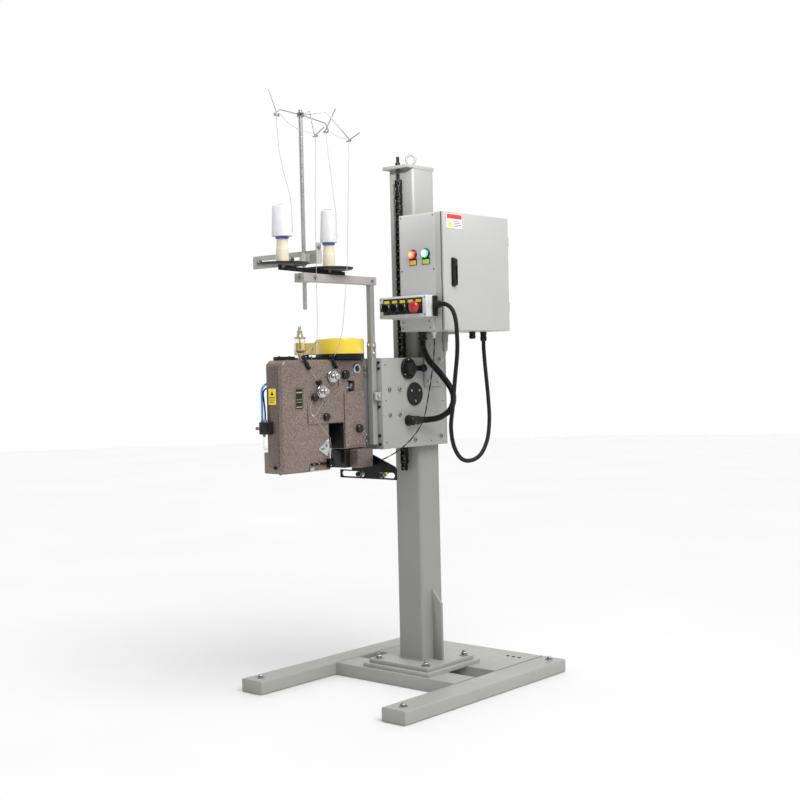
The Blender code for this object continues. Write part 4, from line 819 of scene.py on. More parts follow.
def make_base():
    """Two legs, the cross pieces between them with their welds, and the levelling bolts."""
    for node in ("base_left_leg", "base_right_leg"):
        low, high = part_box(node)
        outline = rounded(rectangle((low.x, low.z), (high.x, high.z)), 0.005, 5)
        cap = rounded(rectangle((low.x + 0.003, low.z + 0.003), (high.x - 0.003, high.z - 0.003)), 0.004,
                      4)
        shapes = [prism(outline, Y, low.y + 0.0015, high.y - 0.0015, 0.0008),
                  prism(cap, Y, low.y, high.y, 0.0008)]
        piece(node.replace("_leg", "_tube"), "frame_paint", shapes, (node,), body="frame")
    low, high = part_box("base_deck")
    deck_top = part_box("base_left_leg")[1].z
    tie, beam_front, gap_front, gap_back = 0.06, low.y, -0.036, 0.063
    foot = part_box("column_flange")[0].z - 0.0003
    shapes = [block((low.x, beam_front, 0.0), (high.x, gap_front, deck_top), 0.0025, axis=X),
              block((-tie, gap_front - 0.01, 0.0), (tie, gap_back + 0.01, deck_top - 0.0002), 0.0015,
                    axis=Y), block((low.x, gap_back, 0.0), (high.x, high.y, deck_top), 0.0025, axis=X),
              block((-0.132, -0.127, deck_top - 0.002), (0.132, 0.127, foot), 0.0015)]
    # seams where the cross pieces meet the legs and the foot plate meets the deck
    for x in (low.x, high.x):
        inward = 0.0012 if x < 0 else -0.0012
        shapes.append(weld([(x + inward, beam_front + 0.004, deck_top),
                            (x + inward, gap_front - 0.004, deck_top)], 0.0018))
        shapes.append(weld([(x + inward, gap_back + 0.004, deck_top),
                            (x + inward, high.y - 0.004, deck_top)], 0.0018))
    piece("base_cross_members", "frame_paint", shapes, ("base_deck",), body="frame")
    # black rings and discs that paint the shade in the rear deck's threaded holes, and the bolts that
    # level the legs
    holes = [ring_about((x, 0.25, deck_top), Z, 0.0055, 0.0008, 20, 6) for x in (0.15, 0.172, 0.194)]
    holes += [round_bar(0.0, 0.0003, 0.005, Z, (x, 0.25, deck_top), 18) for x in (0.15, 0.172, 0.194)]
    piece("deck_hole_shade", "black_void", holes, body="frame")
    bolts = []
    for x in (-0.285, 0.285):
        for y in (-0.42, 0.285):
            bolts.extend(hex_bolt((x, y, deck_top), Z, 1, 0.0085, 0.0085))
    piece("leg_bolts", "bolt_steel", bolts, body="frame")


def make_column():
    """Foot plate, hollow column with its fin and welds, and the lifting ring."""
    low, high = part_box("column_flange")
    corner = rounded(rectangle((low.x, low.y), (high.x, high.y)), 0.004, 4)
    piece("column_foot_plate", "frame_paint", [prism(corner, Z, low.z, high.z, 0.0012)],
          ("column_flange",), body="frame")
    bolts = []
    for x in (-0.095, 0.095):
        for y in (-0.094, 0.094):
            bolts.extend(hex_bolt((x, y, high.z), Z, 1, 0.0095, 0.0105))
            bolts.append(turned([(0.0, 0.005), (0.015, 0.005), (0.016, 0.0042)], Z, (x, y, high.z), 16))
    piece("foot_bolts", "bolt_steel", bolts, body="frame")
    low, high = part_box("column")
    half, plate_low = 0.05, high.z - 0.01
    outer = rounded(rectangle((-half, -half), (half, half)), 0.01, 8)
    inner = [(x * 0.9, y * 0.9) for x, y in outer]
    wall = sleeve(outer, inner, low.z, plate_low)
    fin = [(half - 0.002, low.z), (high.x, low.z), (high.x, low.z + 0.175), (half + 0.004, low.z + 0.215),
           (half - 0.002, low.z + 0.215)]
    plate = block((-half - 0.001, low.y, plate_low - 0.0005), (half + 0.001, half + 0.001, high.z),
                  0.0022)
    rod = round_bar(plate_low - 0.02, high.z + 0.01, 0.0053, Z, (0.0, CHAIN_Y, 0.0), 20)
    reach = half - 0.004
    foot = low.z + 0.0008
    beads = [weld([(-reach, -half, foot), (reach, -half, foot)]),
             weld([(-reach, half, foot), (reach, half, foot)]),
             weld([(-half, -reach, foot), (-half, reach, foot)]),
             weld([(half, -reach, foot), (half, -0.006, foot)]),
             weld([(half, 0.006, foot), (half, reach, foot)]),
             weld([(half, -0.0052, foot + 0.004), (half, -0.0052, low.z + 0.212)], 0.0018),
             weld([(half, 0.0052, foot + 0.004), (half, 0.0052, low.z + 0.212)], 0.0018),
             weld([(-reach, half, plate_low), (reach, half, plate_low)], 0.0018),
             weld([(half - 0.0005, -reach, plate_low), (half - 0.0005, reach, plate_low)], 0.0018)]
    piece("column_tube", "column_paint", [wall, prism(fin, Y, -0.005, 0.005, 0.001), cut(plate, [rod])]
          + beads, ("column",), body="frame")
    low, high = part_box("lifting_eye")
    heading = radians(41)
    centre = Vector((0.0, 0.0, high.z - 0.018))
    loop = [centre + 0.014 * Vector((cos(heading) * cos(a), sin(heading) * cos(a), sin(a)))
            for a in turns(40)]
    collar = turned([(0.0, 0.0096), (0.0035, 0.0096), (0.005, 0.0086), (0.0085, 0.0056), (0.0105, 0.0046)],
                    Z, (0, 0, low.z), 32)
    piece("lifting_ring", "column_paint", [tube(loop, 0.0038, 16, closed=True), collar], ("lifting_eye",),
          body="frame")


def make_chain():
    """Roller chain with inner and outer link plates in turn, hung from a threaded rod."""
    low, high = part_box("chain_anchor_rod")
    y = CHAIN_Y
    nut_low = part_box("column")[1].z + 0.0003
    thread = []
    turns = round((high.z - low.z - 0.002) / 0.00125)
    for i in range(turns):
        z = low.z + 0.001 + i * 0.00125
        thread.extend([(z, 0.0042), (z + 0.0004, 0.00495), (z + 0.0008, 0.00495)])
    rod = turned([(low.z, 0.0042)] + thread + [(high.z, 0.0038)], Z, (0, y, 0), 24)
    washer = round_bar(nut_low, nut_low + 0.0017, 0.0088, Z, (0, y, 0), 28)
    nut = soften(round_bar(nut_low + 0.0018, nut_low + 0.0095, 0.0082, Z, (0, y, 0), 6), 0.0005)
    piece("chain_rod", "black_bolt", [rod, washer, nut], ("chain_anchor_rod",), body="frame")
    low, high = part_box("lift_chain")
    pitch = 0.01905
    links = 46
    top = low.z + 0.0062 + links * pitch
    plates, rollers = [], []
    for i in range(links):
        z = top - i * pitch
        inner = i % 2 == 1
        for side in (-1, 1):
            x = side * (0.0071 if inner else 0.0099)
            bulge, waist = (0.0092, 0.0066) if inner else (0.0086, 0.0062)
            outline = circle((y, z), bulge, 10, radians(35), radians(110))
            outline.append((y - waist, z - pitch / 2))
            outline += circle((y, z - pitch), bulge, 10, radians(215), radians(110))
            outline.append((y + waist, z - pitch / 2))
            plates.append(prism(outline, X, x - 0.001, x + 0.001, 0.0003, 1))
    for i in range(links + 1):
        centre = (0.0, y, top - i * pitch)
        rollers.append(turned([(-0.0058, 0.005), (-0.0054, 0.0057), (0.0054, 0.0057), (0.0058, 0.005)], X,
                              centre, 16))
        plates.append(turned([(-0.011, 0.0022), (-0.0107, 0.0027), (0.0107, 0.0027), (0.011, 0.0022)], X,
                             centre, 12))
    piece("chain_plates", "chain_steel", plates, ("lift_chain",), body="frame")
    piece("chain_rollers", "chain_roller", rollers, body="frame")


# ---------------------------------------------------------------- carriage

def make_carriage():
    """Plates of the carriage, their screws, the bearing cover and the column lock."""
    low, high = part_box("carriage_channel")
    side_low, side_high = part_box("carriage_side_plate")
    front, back = low.y + 0.0077, high.y - 0.008
    outline = [(low.x, low.y), (high.x, low.y), (high.x, front), (low.x + 0.008, front),
               (low.x + 0.008, back), (side_high.x, back), (side_high.x, high.y), (low.x, high.y)]
    piece("carriage_plates", "plate_paint", [prism(outline, Z, low.z, high.z, 0.0008)],
          ("carriage_channel",))
    piece("carriage_side", "plate_paint", [block(side_low, side_high, 0.0008)], ("carriage_side_plate",))
    face = side_high.x
    # fasteners of the side plate, and black discs that paint the shade in small punched holes near its
    # edges
    screws = [socket_screw((face, y, z), X, 1, 0.0062, 0.0045)
              for y, z in ((-0.2104, 0.9053), (-0.1643, 0.905), (-0.2098, 0.8302), (-0.165, 0.83),
                           (-0.0957, 0.7505), (0.028, 0.97), (0.028, 0.756))]
    piece("side_plate_screws", "bolt_steel", screws)
    dots = [round_bar(0.0, 0.0003, 0.0022, X, (face, y, z), 12)
            for y, z in ((-0.226, 0.978), (-0.226, 0.872), (-0.226, 0.749), (-0.12, 0.744), (0.04, 0.864),
                         (-0.02, 0.744))]
    piece("side_plate_hole_shade", "black_void", dots)
    screws = [socket_screw((high.x - 0.0115, low.y, z), Y, -1, 0.0046, 0.0042)
              for z in (0.985, 0.968, 0.855, 0.77, 0.745)]
    screws += [socket_screw((low.x + 0.006, low.y, z), Y, -1, 0.0046, 0.0042)
               for z in (0.98, 0.864, 0.748)]
    piece("front_plate_screws", "black_bolt", screws)
    # tab with a brass pin that locks the stand's upright
    tab = rounded(rectangle((-0.27, 0.874), (-0.2385, 0.899)), 0.004, 4)
    piece("upright_tab", "plate_paint", [prism(tab, X, 0.0665, 0.0745, 0.0008)])
    pin = [turned([(0.0, 0.005), (0.005, 0.005), (0.0062, 0.004), (0.0062, 0.0018), (0.0045, 0.0001)], X,
                  (0.0745, -0.2575, 0.8865), 20)]
    piece("upright_pin", "bolt_zinc", pin)
    # bearing cover with three screws, and the column lock
    low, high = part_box("drive_cover")
    y, z = (low.y + high.y) / 2, (low.z + high.z) / 2
    cover = turned([(0.0, 0.0349), (0.0035, 0.0349), (0.005, 0.0336), (0.0052, 0.029), (0.0044, 0.0284),
                    (0.0044, 0.012), (0.0052, 0.0115), (0.0052, 0.0001)], X, (low.x, y, z), 64)
    piece("bearing_cover", "black_plastic", [cover], ("drive_cover",))
    screws = [socket_screw((low.x + 0.0044, y + 0.021 * cos(a), z + 0.021 * sin(a)), X, 1, 0.0032, 0.0016)
              for a in turns(3, radians(30))]
    piece("bearing_screws", "steel", screws)
    low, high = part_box("column_lock")
    y, z = -0.1246, 0.966
    profile = [(0.0, 0.0318), (0.006, 0.0318), (0.0072, 0.0306), (0.0072, 0.0225), (0.009, 0.0218),
               (0.018, 0.02), (0.0198, 0.0185), (0.0198, 0.008), (0.0185, 0.0074), (0.0185, 0.0001)]
    arm = block((low.x + 0.003, y, z - 0.0085), (low.x + 0.0175, -0.0745, z + 0.0085), 0.0035, 3)
    grips = [around((low.x + 0.012, y + 0.0215 * cos(a), z + 0.0215 * sin(a)), (0.01, 0.0035, 0.0035),
                    0.001) for a in turns(12)]
    piece("column_lock_hub", "black_plastic", [turned(profile, X, (low.x, y, z), 48), arm] + grips,
          ("column_lock",))
    screws = [socket_screw((low.x + 0.007, y + 0.0268 * cos(a), z + 0.0268 * sin(a)), X, 1, 0.0028, 0.002)
              for a in turns(3, radians(100))]
    piece("column_lock_screws", "steel", screws)
    low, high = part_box("lock_knob")
    centre = (low.x, (low.y + high.y) / 2, (low.z + high.z) / 2)
    knob = turned([(0.0, 0.009), (0.0018, 0.0108), (0.0045, 0.0118), (0.01, 0.0118), (0.0128, 0.0106),
                   (0.0138, 0.0084), (0.0138, 0.0064), (0.0115, 0.0056), (0.0115, 0.0001)], X, centre, 40)
    ridges = [around((centre[0] + 0.007, centre[1] + 0.0113 * cos(a), centre[2] + 0.0113 * sin(a)),
                     (0.008, 0.0012, 0.0012), 0.0004) for a in turns(20)]
    piece("lock_knob_grip", "black_plastic", [knob] + ridges, ("lock_knob",), body="lock_knob")


def make_lift():
    """Guide rollers and the geared lift motor."""
    for node in ("guide_roller_upper", "guide_roller_lower"):
        low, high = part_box(node)
        y, z, half = (low.y + high.y) / 2, (low.z + high.z) / 2, high.x
        profile = [(-half, 0.006), (-0.046, 0.006), (-0.046, 0.0268), (-0.0448, 0.028), (-0.0192, 0.028),
                   (-0.018, 0.0268), (-0.018, 0.006), (0.018, 0.006), (0.018, 0.0268), (0.0192, 0.028),
                   (0.0448, 0.028), (0.046, 0.0268), (0.046, 0.006), (half, 0.006)]
        piece(node + "_wheels", "steel", [turned(profile, X, (0.0, y, z), 48)], (node,), body=node)
    # geared lift motor: ribbed gearbox and finned motor with a fan cowl
    low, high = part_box("lift_gearmotor")
    y, z = (low.y + high.y) / 2, (low.z + high.z) / 2
    gear_left = high.x - 0.08
    shapes = [block((gear_left, low.y + 0.001, low.z + 0.001), (high.x, high.y - 0.001, high.z - 0.001),
                    0.01, 4)]
    shapes += [block((gear_left + 0.012 + k * 0.012, low.y, low.z + 0.014),
                     (gear_left + 0.016 + k * 0.012, high.y, high.z - 0.014), 0.001) for k in range(5)]
    can = turned([(0.0, 0.044), (-0.01, 0.049), (-0.02, 0.046), (-0.112, 0.046), (-0.116, 0.046)], X,
                 (gear_left + 0.001, y, z), 48)
    fins = rib_ring(24, X, (gear_left, y, z), 0.0475, -0.062, (0.092, 0.0045, 0.0016), 0.0004)
    cowl_start = gear_left - 0.115
    cowl = turned([(0.0, 0.0515), (-0.003, 0.0528), (-0.029, 0.0528), (-0.033, 0.049), (-0.0335, 0.03),
                   (-0.0325, 0.0285), (-0.0325, 0.0001)], X, (cowl_start, y, z), 48)
    vents = [ring_about((cowl_start - 0.0332, y, z), X, 0.014 + 0.0065 * k, 0.0009, 40, 6)
             for k in range(3)]
    piece("lift_motor", "motor_grey", shapes + [can, cowl] + fins + vents, ("lift_gearmotor",))
    bolts = []
    for dy in (-0.043, 0.043):
        for dz in (-0.043, 0.043):
            bolts.append(socket_screw((gear_left, y + dy, z + dz), X, -1, 0.005, 0.005))
    piece("lift_motor_screws", "black_bolt", bolts)


def make_cabinet_bracket():
    """The cabinet's support on the side plate, and the elbow of the head's conduit."""
    low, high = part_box("cabinet_bracket")
    face = low.x
    outline = rounded([(-0.05, 0.91), (0.026, 0.91), (0.03, 0.915), (0.07, high.z), (-0.05, high.z)],
                      0.0015, 2)
    shapes = [prism(outline, X, face, face + 0.006, 0.0008),
              block((face + 0.001, -0.04, high.z - 0.006), (high.x, 0.065, high.z), 0.0008)]
    piece("cabinet_support", "plate_paint", shapes, ("cabinet_bracket",))
    bolts = []
    for y, z in ((-0.034, 0.926), (0.012, 0.926), (-0.034, 0.99), (0.024, 0.99)):
        bolts.extend(hex_bolt((face + 0.006, y, z), X, 1, 0.0062, 0.0062))
    piece("cabinet_support_bolts", "bolt_zinc", bolts)
    low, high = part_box("conduit_elbow")
    y, z = -0.128, 0.81
    body = turned([(0.0, 0.0163), (0.0055, 0.0163), (0.0062, 0.0155), (0.0062, 0.0142), (0.024, 0.0138),
                   (0.028, 0.011), (0.0292, 0.007), (0.0292, 0.0001)], X, (low.x, y, z), 40)
    flange_hex = soften(round_bar(0.0, 0.006, 0.0164, X, (low.x, y, z), 6), 0.0006)
    arm = turned([(0.0, 0.0122), (0.02, 0.0122), (0.0205, 0.0124), (0.0295, 0.0124), (0.03, 0.0118)], Y,
                 (low.x + 0.017, y, z), 40)
    ridges = [around((low.x + 0.017 + 0.0122 * cos(a), y + 0.0245, z + 0.0122 * sin(a)),
                     (0.0014, 0.009, 0.0014), 0.0004) for a in turns(16)]
    piece("conduit_fitting", "black_plastic", [body, flange_hex, arm] + ridges, ("conduit_elbow",),
          smooth=40)


# ---------------------------------------------------------------- sewing head

HEAD_FACE, HEAD_BACK = 0.045, -0.022
HEAD_LEFT, HEAD_RIGHT = -0.617, -0.287
HEAD_LOW, HEAD_TOP = 0.682, 0.996
THROAT_LEFT, THROAT_RIGHT, THROAT_TOP = -0.437, -0.3755, 0.8145


def make_casting():
    """The head's body, with its covers and the openings cut into its face, and black blocks that paint the
    shade in its throat and window.
    """
    outline = [(HEAD_LEFT, HEAD_LOW), (THROAT_LEFT, HEAD_LOW), (THROAT_LEFT, THROAT_TOP),
               (THROAT_RIGHT, THROAT_TOP), (THROAT_RIGHT, HEAD_LOW + 0.055),
               (HEAD_RIGHT, HEAD_LOW + 0.055), (HEAD_RIGHT, HEAD_TOP), (HEAD_LEFT + 0.012, HEAD_TOP),
               (HEAD_LEFT, HEAD_TOP - 0.012)]
    body = prism(outline, X, HEAD_BACK, HEAD_FACE, 0.0055, 4)
    window = prism(rounded(rectangle((-0.36, 0.903), (-0.328, 0.935)), 0.003, 3), X, HEAD_FACE - 0.022,
                   HEAD_FACE + 0.01)
    eye = round_bar(HEAD_FACE - 0.012, HEAD_FACE + 0.01, 0.0052, X, (0, -0.416, 0.847), 24)
    needle = round_bar(-0.575, -0.42, 0.006, Y, (0.015, 0, 0.752), 24)
    well = round_bar(HEAD_TOP - 0.018, HEAD_TOP + 0.01, 0.01, Z, (*HEAD_PULLEY, 0), 32)
    body = cut(body, [window, eye, needle, well])
    heel = block((HEAD_BACK - 0.015, HEAD_LEFT + 0.0005, HEAD_LOW + 0.0005),
                 (HEAD_BACK + 0.008, -0.5, HEAD_LOW + 0.06), 0.004, 3)
    # wedge cover of the mechanism over the throat
    wedge = prism([(HEAD_FACE - 0.001, 0.816), (HEAD_FACE + 0.0042, 0.816), (HEAD_FACE + 0.0042, 0.821),
                   (HEAD_FACE - 0.001, 0.908)], Y, -0.523, -0.3785, 0.0012)
    # raised cover of the lower arm
    cover = rounded(rectangle((-0.3745, 0.739), (-0.288, 0.903)), 0.004, 4)
    raised = prism(cover, X, HEAD_FACE - 0.001, HEAD_FACE + 0.004, 0.0016, 3)
    # cast bosses round the tension units and the narrow end's cover plate
    bosses = [turned([(0.0, 0.0195), (0.0006, 0.0195), (0.001, 0.019)], X, (HEAD_FACE - 0.0002, y, z), 40)
              for y, z in TENSIONS.values()]
    end_plate = prism(rounded(rectangle((-0.015, 0.7), (0.0265, 0.978)), 0.004, 4), Y, HEAD_LEFT - 0.002,
                      HEAD_LEFT + 0.001, 0.0008, 2)
    piece("head_body", "hammertone", [body, heel, wedge, raised] + bosses, ("head_casting",))
    # the narrow end's cover is the dimmed hammertone, painted shade
    piece("head_end_cover", "hammertone_painted_shade", [end_plate])
    # painted shade: black sheets inside the throat, and a black block at the back of the window
    dark = [block((HEAD_BACK + 0.002, THROAT_LEFT + 0.0002, 0.684),
                  (HEAD_FACE - 0.002, THROAT_LEFT + 0.0014, THROAT_TOP - 0.001), 0.0003),
            block((HEAD_BACK + 0.002, THROAT_LEFT + 0.001, THROAT_TOP - 0.0014),
                  (HEAD_FACE - 0.002, THROAT_RIGHT - 0.001, THROAT_TOP - 0.0002), 0.0003),
            block((HEAD_BACK + 0.002, THROAT_RIGHT - 0.0014, 0.74),
                  (HEAD_FACE - 0.002, THROAT_RIGHT - 0.0002, THROAT_TOP - 0.001), 0.0003),
            block((HEAD_FACE - 0.0215, -0.3595, 0.9035), (HEAD_FACE - 0.0195, -0.3285, 0.9345)),
            block((HEAD_BACK + 0.0005, THROAT_LEFT + 0.0015, 0.738),
                  (HEAD_BACK + 0.002, THROAT_RIGHT - 0.0015, THROAT_TOP - 0.0015))]
    piece("throat_painted_shade", "black_void", dark)


def knurled(centre, radius, length):
    """A small knurled knob that stands out from the head's face along +X."""
    body = turned([(0.0, radius * 0.62), (0.002, radius * 0.62), (0.0022, radius * 0.92),
                   (0.0032, radius * 0.97), (length * 0.88, radius * 0.97), (length, radius * 0.84),
                   (length, radius * 0.3), (length - 0.001, radius * 0.26), (length - 0.001, 0.0001)], X,
                  centre, 40)
    teeth = rib_ring(26, X, centre, radius * 0.97, (length + 0.001) / 2, (length - 0.006, 0.001, 0.0009),
                     0.0002)
    return [body] + teeth


def make_face_details():
    """Knobs, guides, plates, threads and hoses on the head's face and narrow end."""
    face = HEAD_FACE
    knobs = []
    for y, z, radius, length in ((-0.371, 0.952, 0.013, 0.013), (-0.499, 0.89, 0.011, 0.012),
                                 (-0.454, 0.834, 0.011, 0.012), (-0.32, 0.795, 0.012, 0.012)):
        out = 0.004 if (y, z) == (-0.32, 0.795) else (0.0012 if z == 0.89 or z == 0.834 else 0.0)
        knobs.extend(knurled((face + out, y, z), radius, length))
    piece("face_knobs", "gloss_black", knobs)
    # guide tubes of the two threads: a stem, a mushroom end and a screwed foot
    tubes = []
    for start, end in (((-0.539, 1.003), (-0.517, 0.973)), ((-0.427, 1.005), (-0.408, 0.974))):
        one, two = Vector((face + 0.0055, *start)), Vector((face + 0.0055, *end))
        way = (two - one).normalized()
        tubes.append(tube([one - way * 0.004, one - way * 0.0036, one - way * 0.001, one + way * 0.003,
                           one + way * 0.0034, two], [0.0052, 0.0066, 0.007, 0.006, 0.0042, 0.004], 20))
        tubes.append(tube([two - way * 0.001, two + way * 0.003], [0.0058, 0.005], 20))
        foot = one.lerp(two, 0.72)
        tubes.append(turned([(0.0, 0.0062), (0.0058, 0.0062), (0.0064, 0.0056)], X, (face, foot.y, foot.z),
                            24))
    tubes.append(turned([(0.0, 0.007), (0.0035, 0.007), (0.0045, 0.0045), (0.009, 0.0042),
                         (0.0096, 0.0066), (0.0112, 0.0066), (0.0118, 0.005)], X, (face, -0.48, 0.932),
                        28))
    piece("thread_tubes", "black_plastic", tubes)
    # chrome: oil sight, eyelet and take-up plate; the window mechanism follows in steel
    chrome = [turned([(0.0, 0.0148), (0.0022, 0.0148), (0.0036, 0.0136), (0.0036, 0.0096), (0.0026, 0.009),
                      (0.0026, 0.0001)], X, (face, -0.318, 0.969), 40),
              turned([(0.0, 0.0052), (0.0016, 0.0052), (0.0024, 0.0044), (0.0024, 0.0024)], X,
                     (face + 0.001, -0.503, 0.838), 24), ring_about((face + 0.004, -0.503, 0.838), X,
                                                                    0.003, 0.0009, 24, 8)]
    plate = prism(rounded([(-0.487, 0.744), (-0.45, 0.723), (-0.439, 0.729), (-0.4385, 0.77),
                           (-0.445, 0.774)], 0.0035, 4), X, face, face + 0.0022, 0.0004)
    hole = round_bar(-0.01, 0.01, 0.0042, X, (face, -0.452, 0.752), 20)
    long_hole = prism(slot_line(-0.475, -0.461, 0.744, 0.0022), X, face - 0.005, face + 0.01)
    chrome.append(cut(plate, [hole, long_hole]))
    chrome.append(domed_screw((face + 0.0022, -0.445, 0.764), X, 1, 0.0034, 0.002))
    chrome.append(block((0.006, -0.52, 0.6832), (face + 0.0038, -0.44, 0.6866), 0.0006))
    chrome.append(block((face + 0.0012, -0.52, 0.6866), (face + 0.0038, -0.505, 0.696), 0.0006))
    piece("face_chrome", "chrome", chrome)
    steel = [block((face - 0.019, -0.356, 0.906), (face - 0.008, -0.344, 0.933), 0.0012),
             turned([(face - 0.019, 0.006), (face - 0.006, 0.006), (face - 0.004, 0.0048)], X,
                    (0, -0.337, 0.922), 24), block((face - 0.012, -0.345, 0.914),
                                                   (face - 0.006, -0.332, 0.918), 0.0008),
             tube([(face - 0.012, -0.357, 0.909), (face - 0.007, -0.348, 0.916),
                   (face - 0.006, -0.337, 0.912)], 0.0016, 10)]
    piece("window_mechanism", "bolt_steel", steel)
    sight = [turned([(0.0026, 0.0092), (0.003, 0.0088), (0.0036, 0.006), (0.0038, 0.0001)], X,
                    (face, -0.318, 0.969), 32)]
    piece("oil_sight", "gloss_black", sight)
    # clamping slits drawn as black lines of painted shade, with their screws
    screws = []
    slit_shade = []
    for one, two in (((-0.458, 0.882), (-0.455, 0.86)), ((-0.397, 0.938), (-0.396, 0.919))):
        slit_shade.append(tube([(face + 0.0002, *one), (face + 0.0002, *two)], 0.0011, 8))
        screws.append(domed_screw((face + 0.0004, one[0] + 0.008, (one[1] + two[1]) / 2), X, 1, 0.0036,
                                  0.0018))
    for y, z, out in ((-0.366, 0.7475, 0.004), (-0.296, 0.7475, 0.004), (-0.296, 0.89, 0.004),
                      (-0.39, 0.824, 0.0036), (-0.512, 0.824, 0.0036)):
        screws.append(domed_screw((face + out, y, z), X, 1, 0.004, 0.0018))
    piece("face_screws", "bolt_steel", screws)
    # a black disc paints the shade in the thread eye's hole
    slit_shade.append(round_bar(0.0, 0.0003, 0.006, X, (face, -0.416, 0.847), 24))
    piece("face_slit_shade", "black_void", slit_shade)
    # blank name plate: black, with a gold frame and two gold bars
    plate = prism(rounded(rectangle((-0.571, 0.857), (-0.539, 0.918)), 0.0015, 3), X, face, face + 0.0008,
                  0.0002, 1)
    piece("name_plate", "black_void", [plate])
    rim = prism(rounded(rectangle((-0.5695, 0.8585), (-0.5405, 0.9165)), 0.0012, 3), X, face + 0.0005,
                face + 0.001)
    inner = prism(rounded(rectangle((-0.5685, 0.8595), (-0.5415, 0.9155)), 0.001, 3), X, face - 0.001,
                  face + 0.01)
    gold = [cut(rim, [inner])]
    for low, high in ((0.864, 0.8668), (0.878, 0.8793), (0.885, 0.8863), (0.904, 0.9075)):
        gold.append(block((face + 0.0005, -0.5655, low), (face + 0.001, -0.5445, high)))
    piece("name_plate_print", "label_gold", gold)
    # thread laid over the face: from its tube round the guides and discs to the needle
    wire = face + 0.0062
    runs = [[(wire, -0.517, 0.972), (wire + 0.002, -0.5, 0.952), (face + 0.0085, -0.4845, 0.934),
             (face + 0.008, -0.476, 0.924), (face + 0.0085, -0.478, 0.916)],
            [(wire, -0.408, 0.972), (wire, -0.412, 0.966), (face + 0.0088, -0.417, 0.959)],
            [(face + 0.0088, -0.456, 0.896), (face + 0.0075, -0.474, 0.868),
             (face + 0.0065, -0.492, 0.846), (face + 0.0052, -0.503, 0.8385)],
            [(face + 0.0066, -0.499, 0.89), (face + 0.007, -0.512, 0.878), (face + 0.0068, -0.52, 0.86),
             (face + 0.006, -0.514, 0.845), (face + 0.0052, -0.503, 0.8385)],
            [(face + 0.0052, -0.503, 0.8385), (face + 0.005, -0.478, 0.812), (face + 0.0042, -0.45, 0.784),
             (face + 0.0036, -0.437, 0.772), (face + 0.0036, -0.436, 0.748),
             (face + 0.0036, -0.4375, 0.728)]]
    piece("face_thread", "thread", [tube(run, 0.00045, 8) for run in runs])
    # narrow end: label, air valve with its tubes, screws
    side = HEAD_LEFT - 0.002
    piece("end_label", "label_yellow", [block((-0.009, side - 0.0004, 0.874), (0.02, side + 0.0003, 0.918),
                                              0.0002, 1)])
    piece("end_label_print", "label_black", [prism([(-0.001, 0.9), (0.012, 0.9), (0.0055, 0.912)], Y,
                                                   side - 0.0006, side - 0.0003),
                                             block((-0.006, side - 0.0006, 0.892),
                                                   (0.017, side - 0.0003, 0.8945)),
                                             block((-0.006, side - 0.0006, 0.886),
                                                   (0.017, side - 0.0003, 0.888)),
                                             block((-0.006, side - 0.0006, 0.88),
                                                   (0.012, side - 0.0003, 0.882))])
    valve = [block((-0.038, side - 0.012, 0.792), (0.005, side + 0.0004, 0.826), 0.0015),
             block((-0.032, side - 0.015, 0.798), (-0.002, side - 0.0115, 0.82), 0.001),
             turned([(0.0, 0.0042), (-0.0036, 0.0042), (-0.0042, 0.0034), (-0.0042, 0.0001)], Z,
                    (0.012, -0.6, HEAD_LOW + 0.0008), 24)]
    piece("air_valve", "black_plastic", valve)
    piece("end_screws", "black_bolt", [socket_screw((0.011, side, 0.7), Y, -1, 0.0055, 0.003)]
          + [domed_screw((x, side - 0.015, z), Y, -1, 0.0024, 0.0012)
             for x, z in ((-0.027, 0.802), (-0.007, 0.816))])
    fittings = [turned([(0.0, 0.005), (0.004, 0.005), (0.0042, 0.0036), (0.009, 0.0036)], Z,
                       (-0.03, side - 0.006, 0.8255), 20), turned([(0.0, 0.005), (0.004, 0.005),
                                                                   (0.0042, 0.0036), (0.009, 0.0036)], Z,
                                                                  (-0.018, side - 0.006, 0.8255), 20),
                turned([(0.0, 0.0046), (-0.004, 0.0046), (-0.0042, 0.0034), (-0.008, 0.0034)], Z,
                       (-0.024, side - 0.006, 0.7925), 20)]
    fittings.append(turned([(0.0, 0.0056), (-0.004, 0.0056), (-0.0044, 0.0036), (-0.012, 0.0036),
                            (-0.0124, 0.0048), (-0.016, 0.0048)], X, (-0.0378, side - 0.006, 0.808), 20))
    piece("air_fittings", "bolt_steel", fittings)
    blue = [(-0.03, side - 0.006, 0.833), (-0.03, side - 0.006, 0.86), (-0.031, side - 0.005, 0.89),
            (-0.031, side - 0.004, 0.916), (-0.029, side + 0.006, 0.929), (-0.027, side + 0.024, 0.933),
            (-0.0262, side + 0.06, 0.933)]
    piece("blue_air_hose", "blue_tube", [tube(bent(blue), 0.0032, 14)])
    black = [(-0.018, side - 0.006, 0.833), (-0.0185, side - 0.0056, 0.854), (-0.023, side - 0.005, 0.886),
             (-0.0252, side - 0.0046, 0.906), (-0.0256, side + 0.005, 0.918), (-0.0256, side + 0.03, 0.92),
             (-0.0256, side + 0.06, 0.92)]
    piece("black_air_hose", "rubber", [tube(bent(black), 0.0024, 14)])
    clear_run = [(-0.024, side - 0.006, 0.786), (-0.0245, side - 0.006, 0.772),
                 (-0.026, side - 0.005, 0.756), (-0.0268, side + 0.008, 0.75),
                 (-0.0262, side + 0.04, 0.75)]
    piece("clear_air_hose", "clear_tube", [tube(bent(clear_run), 0.0028, 14)])


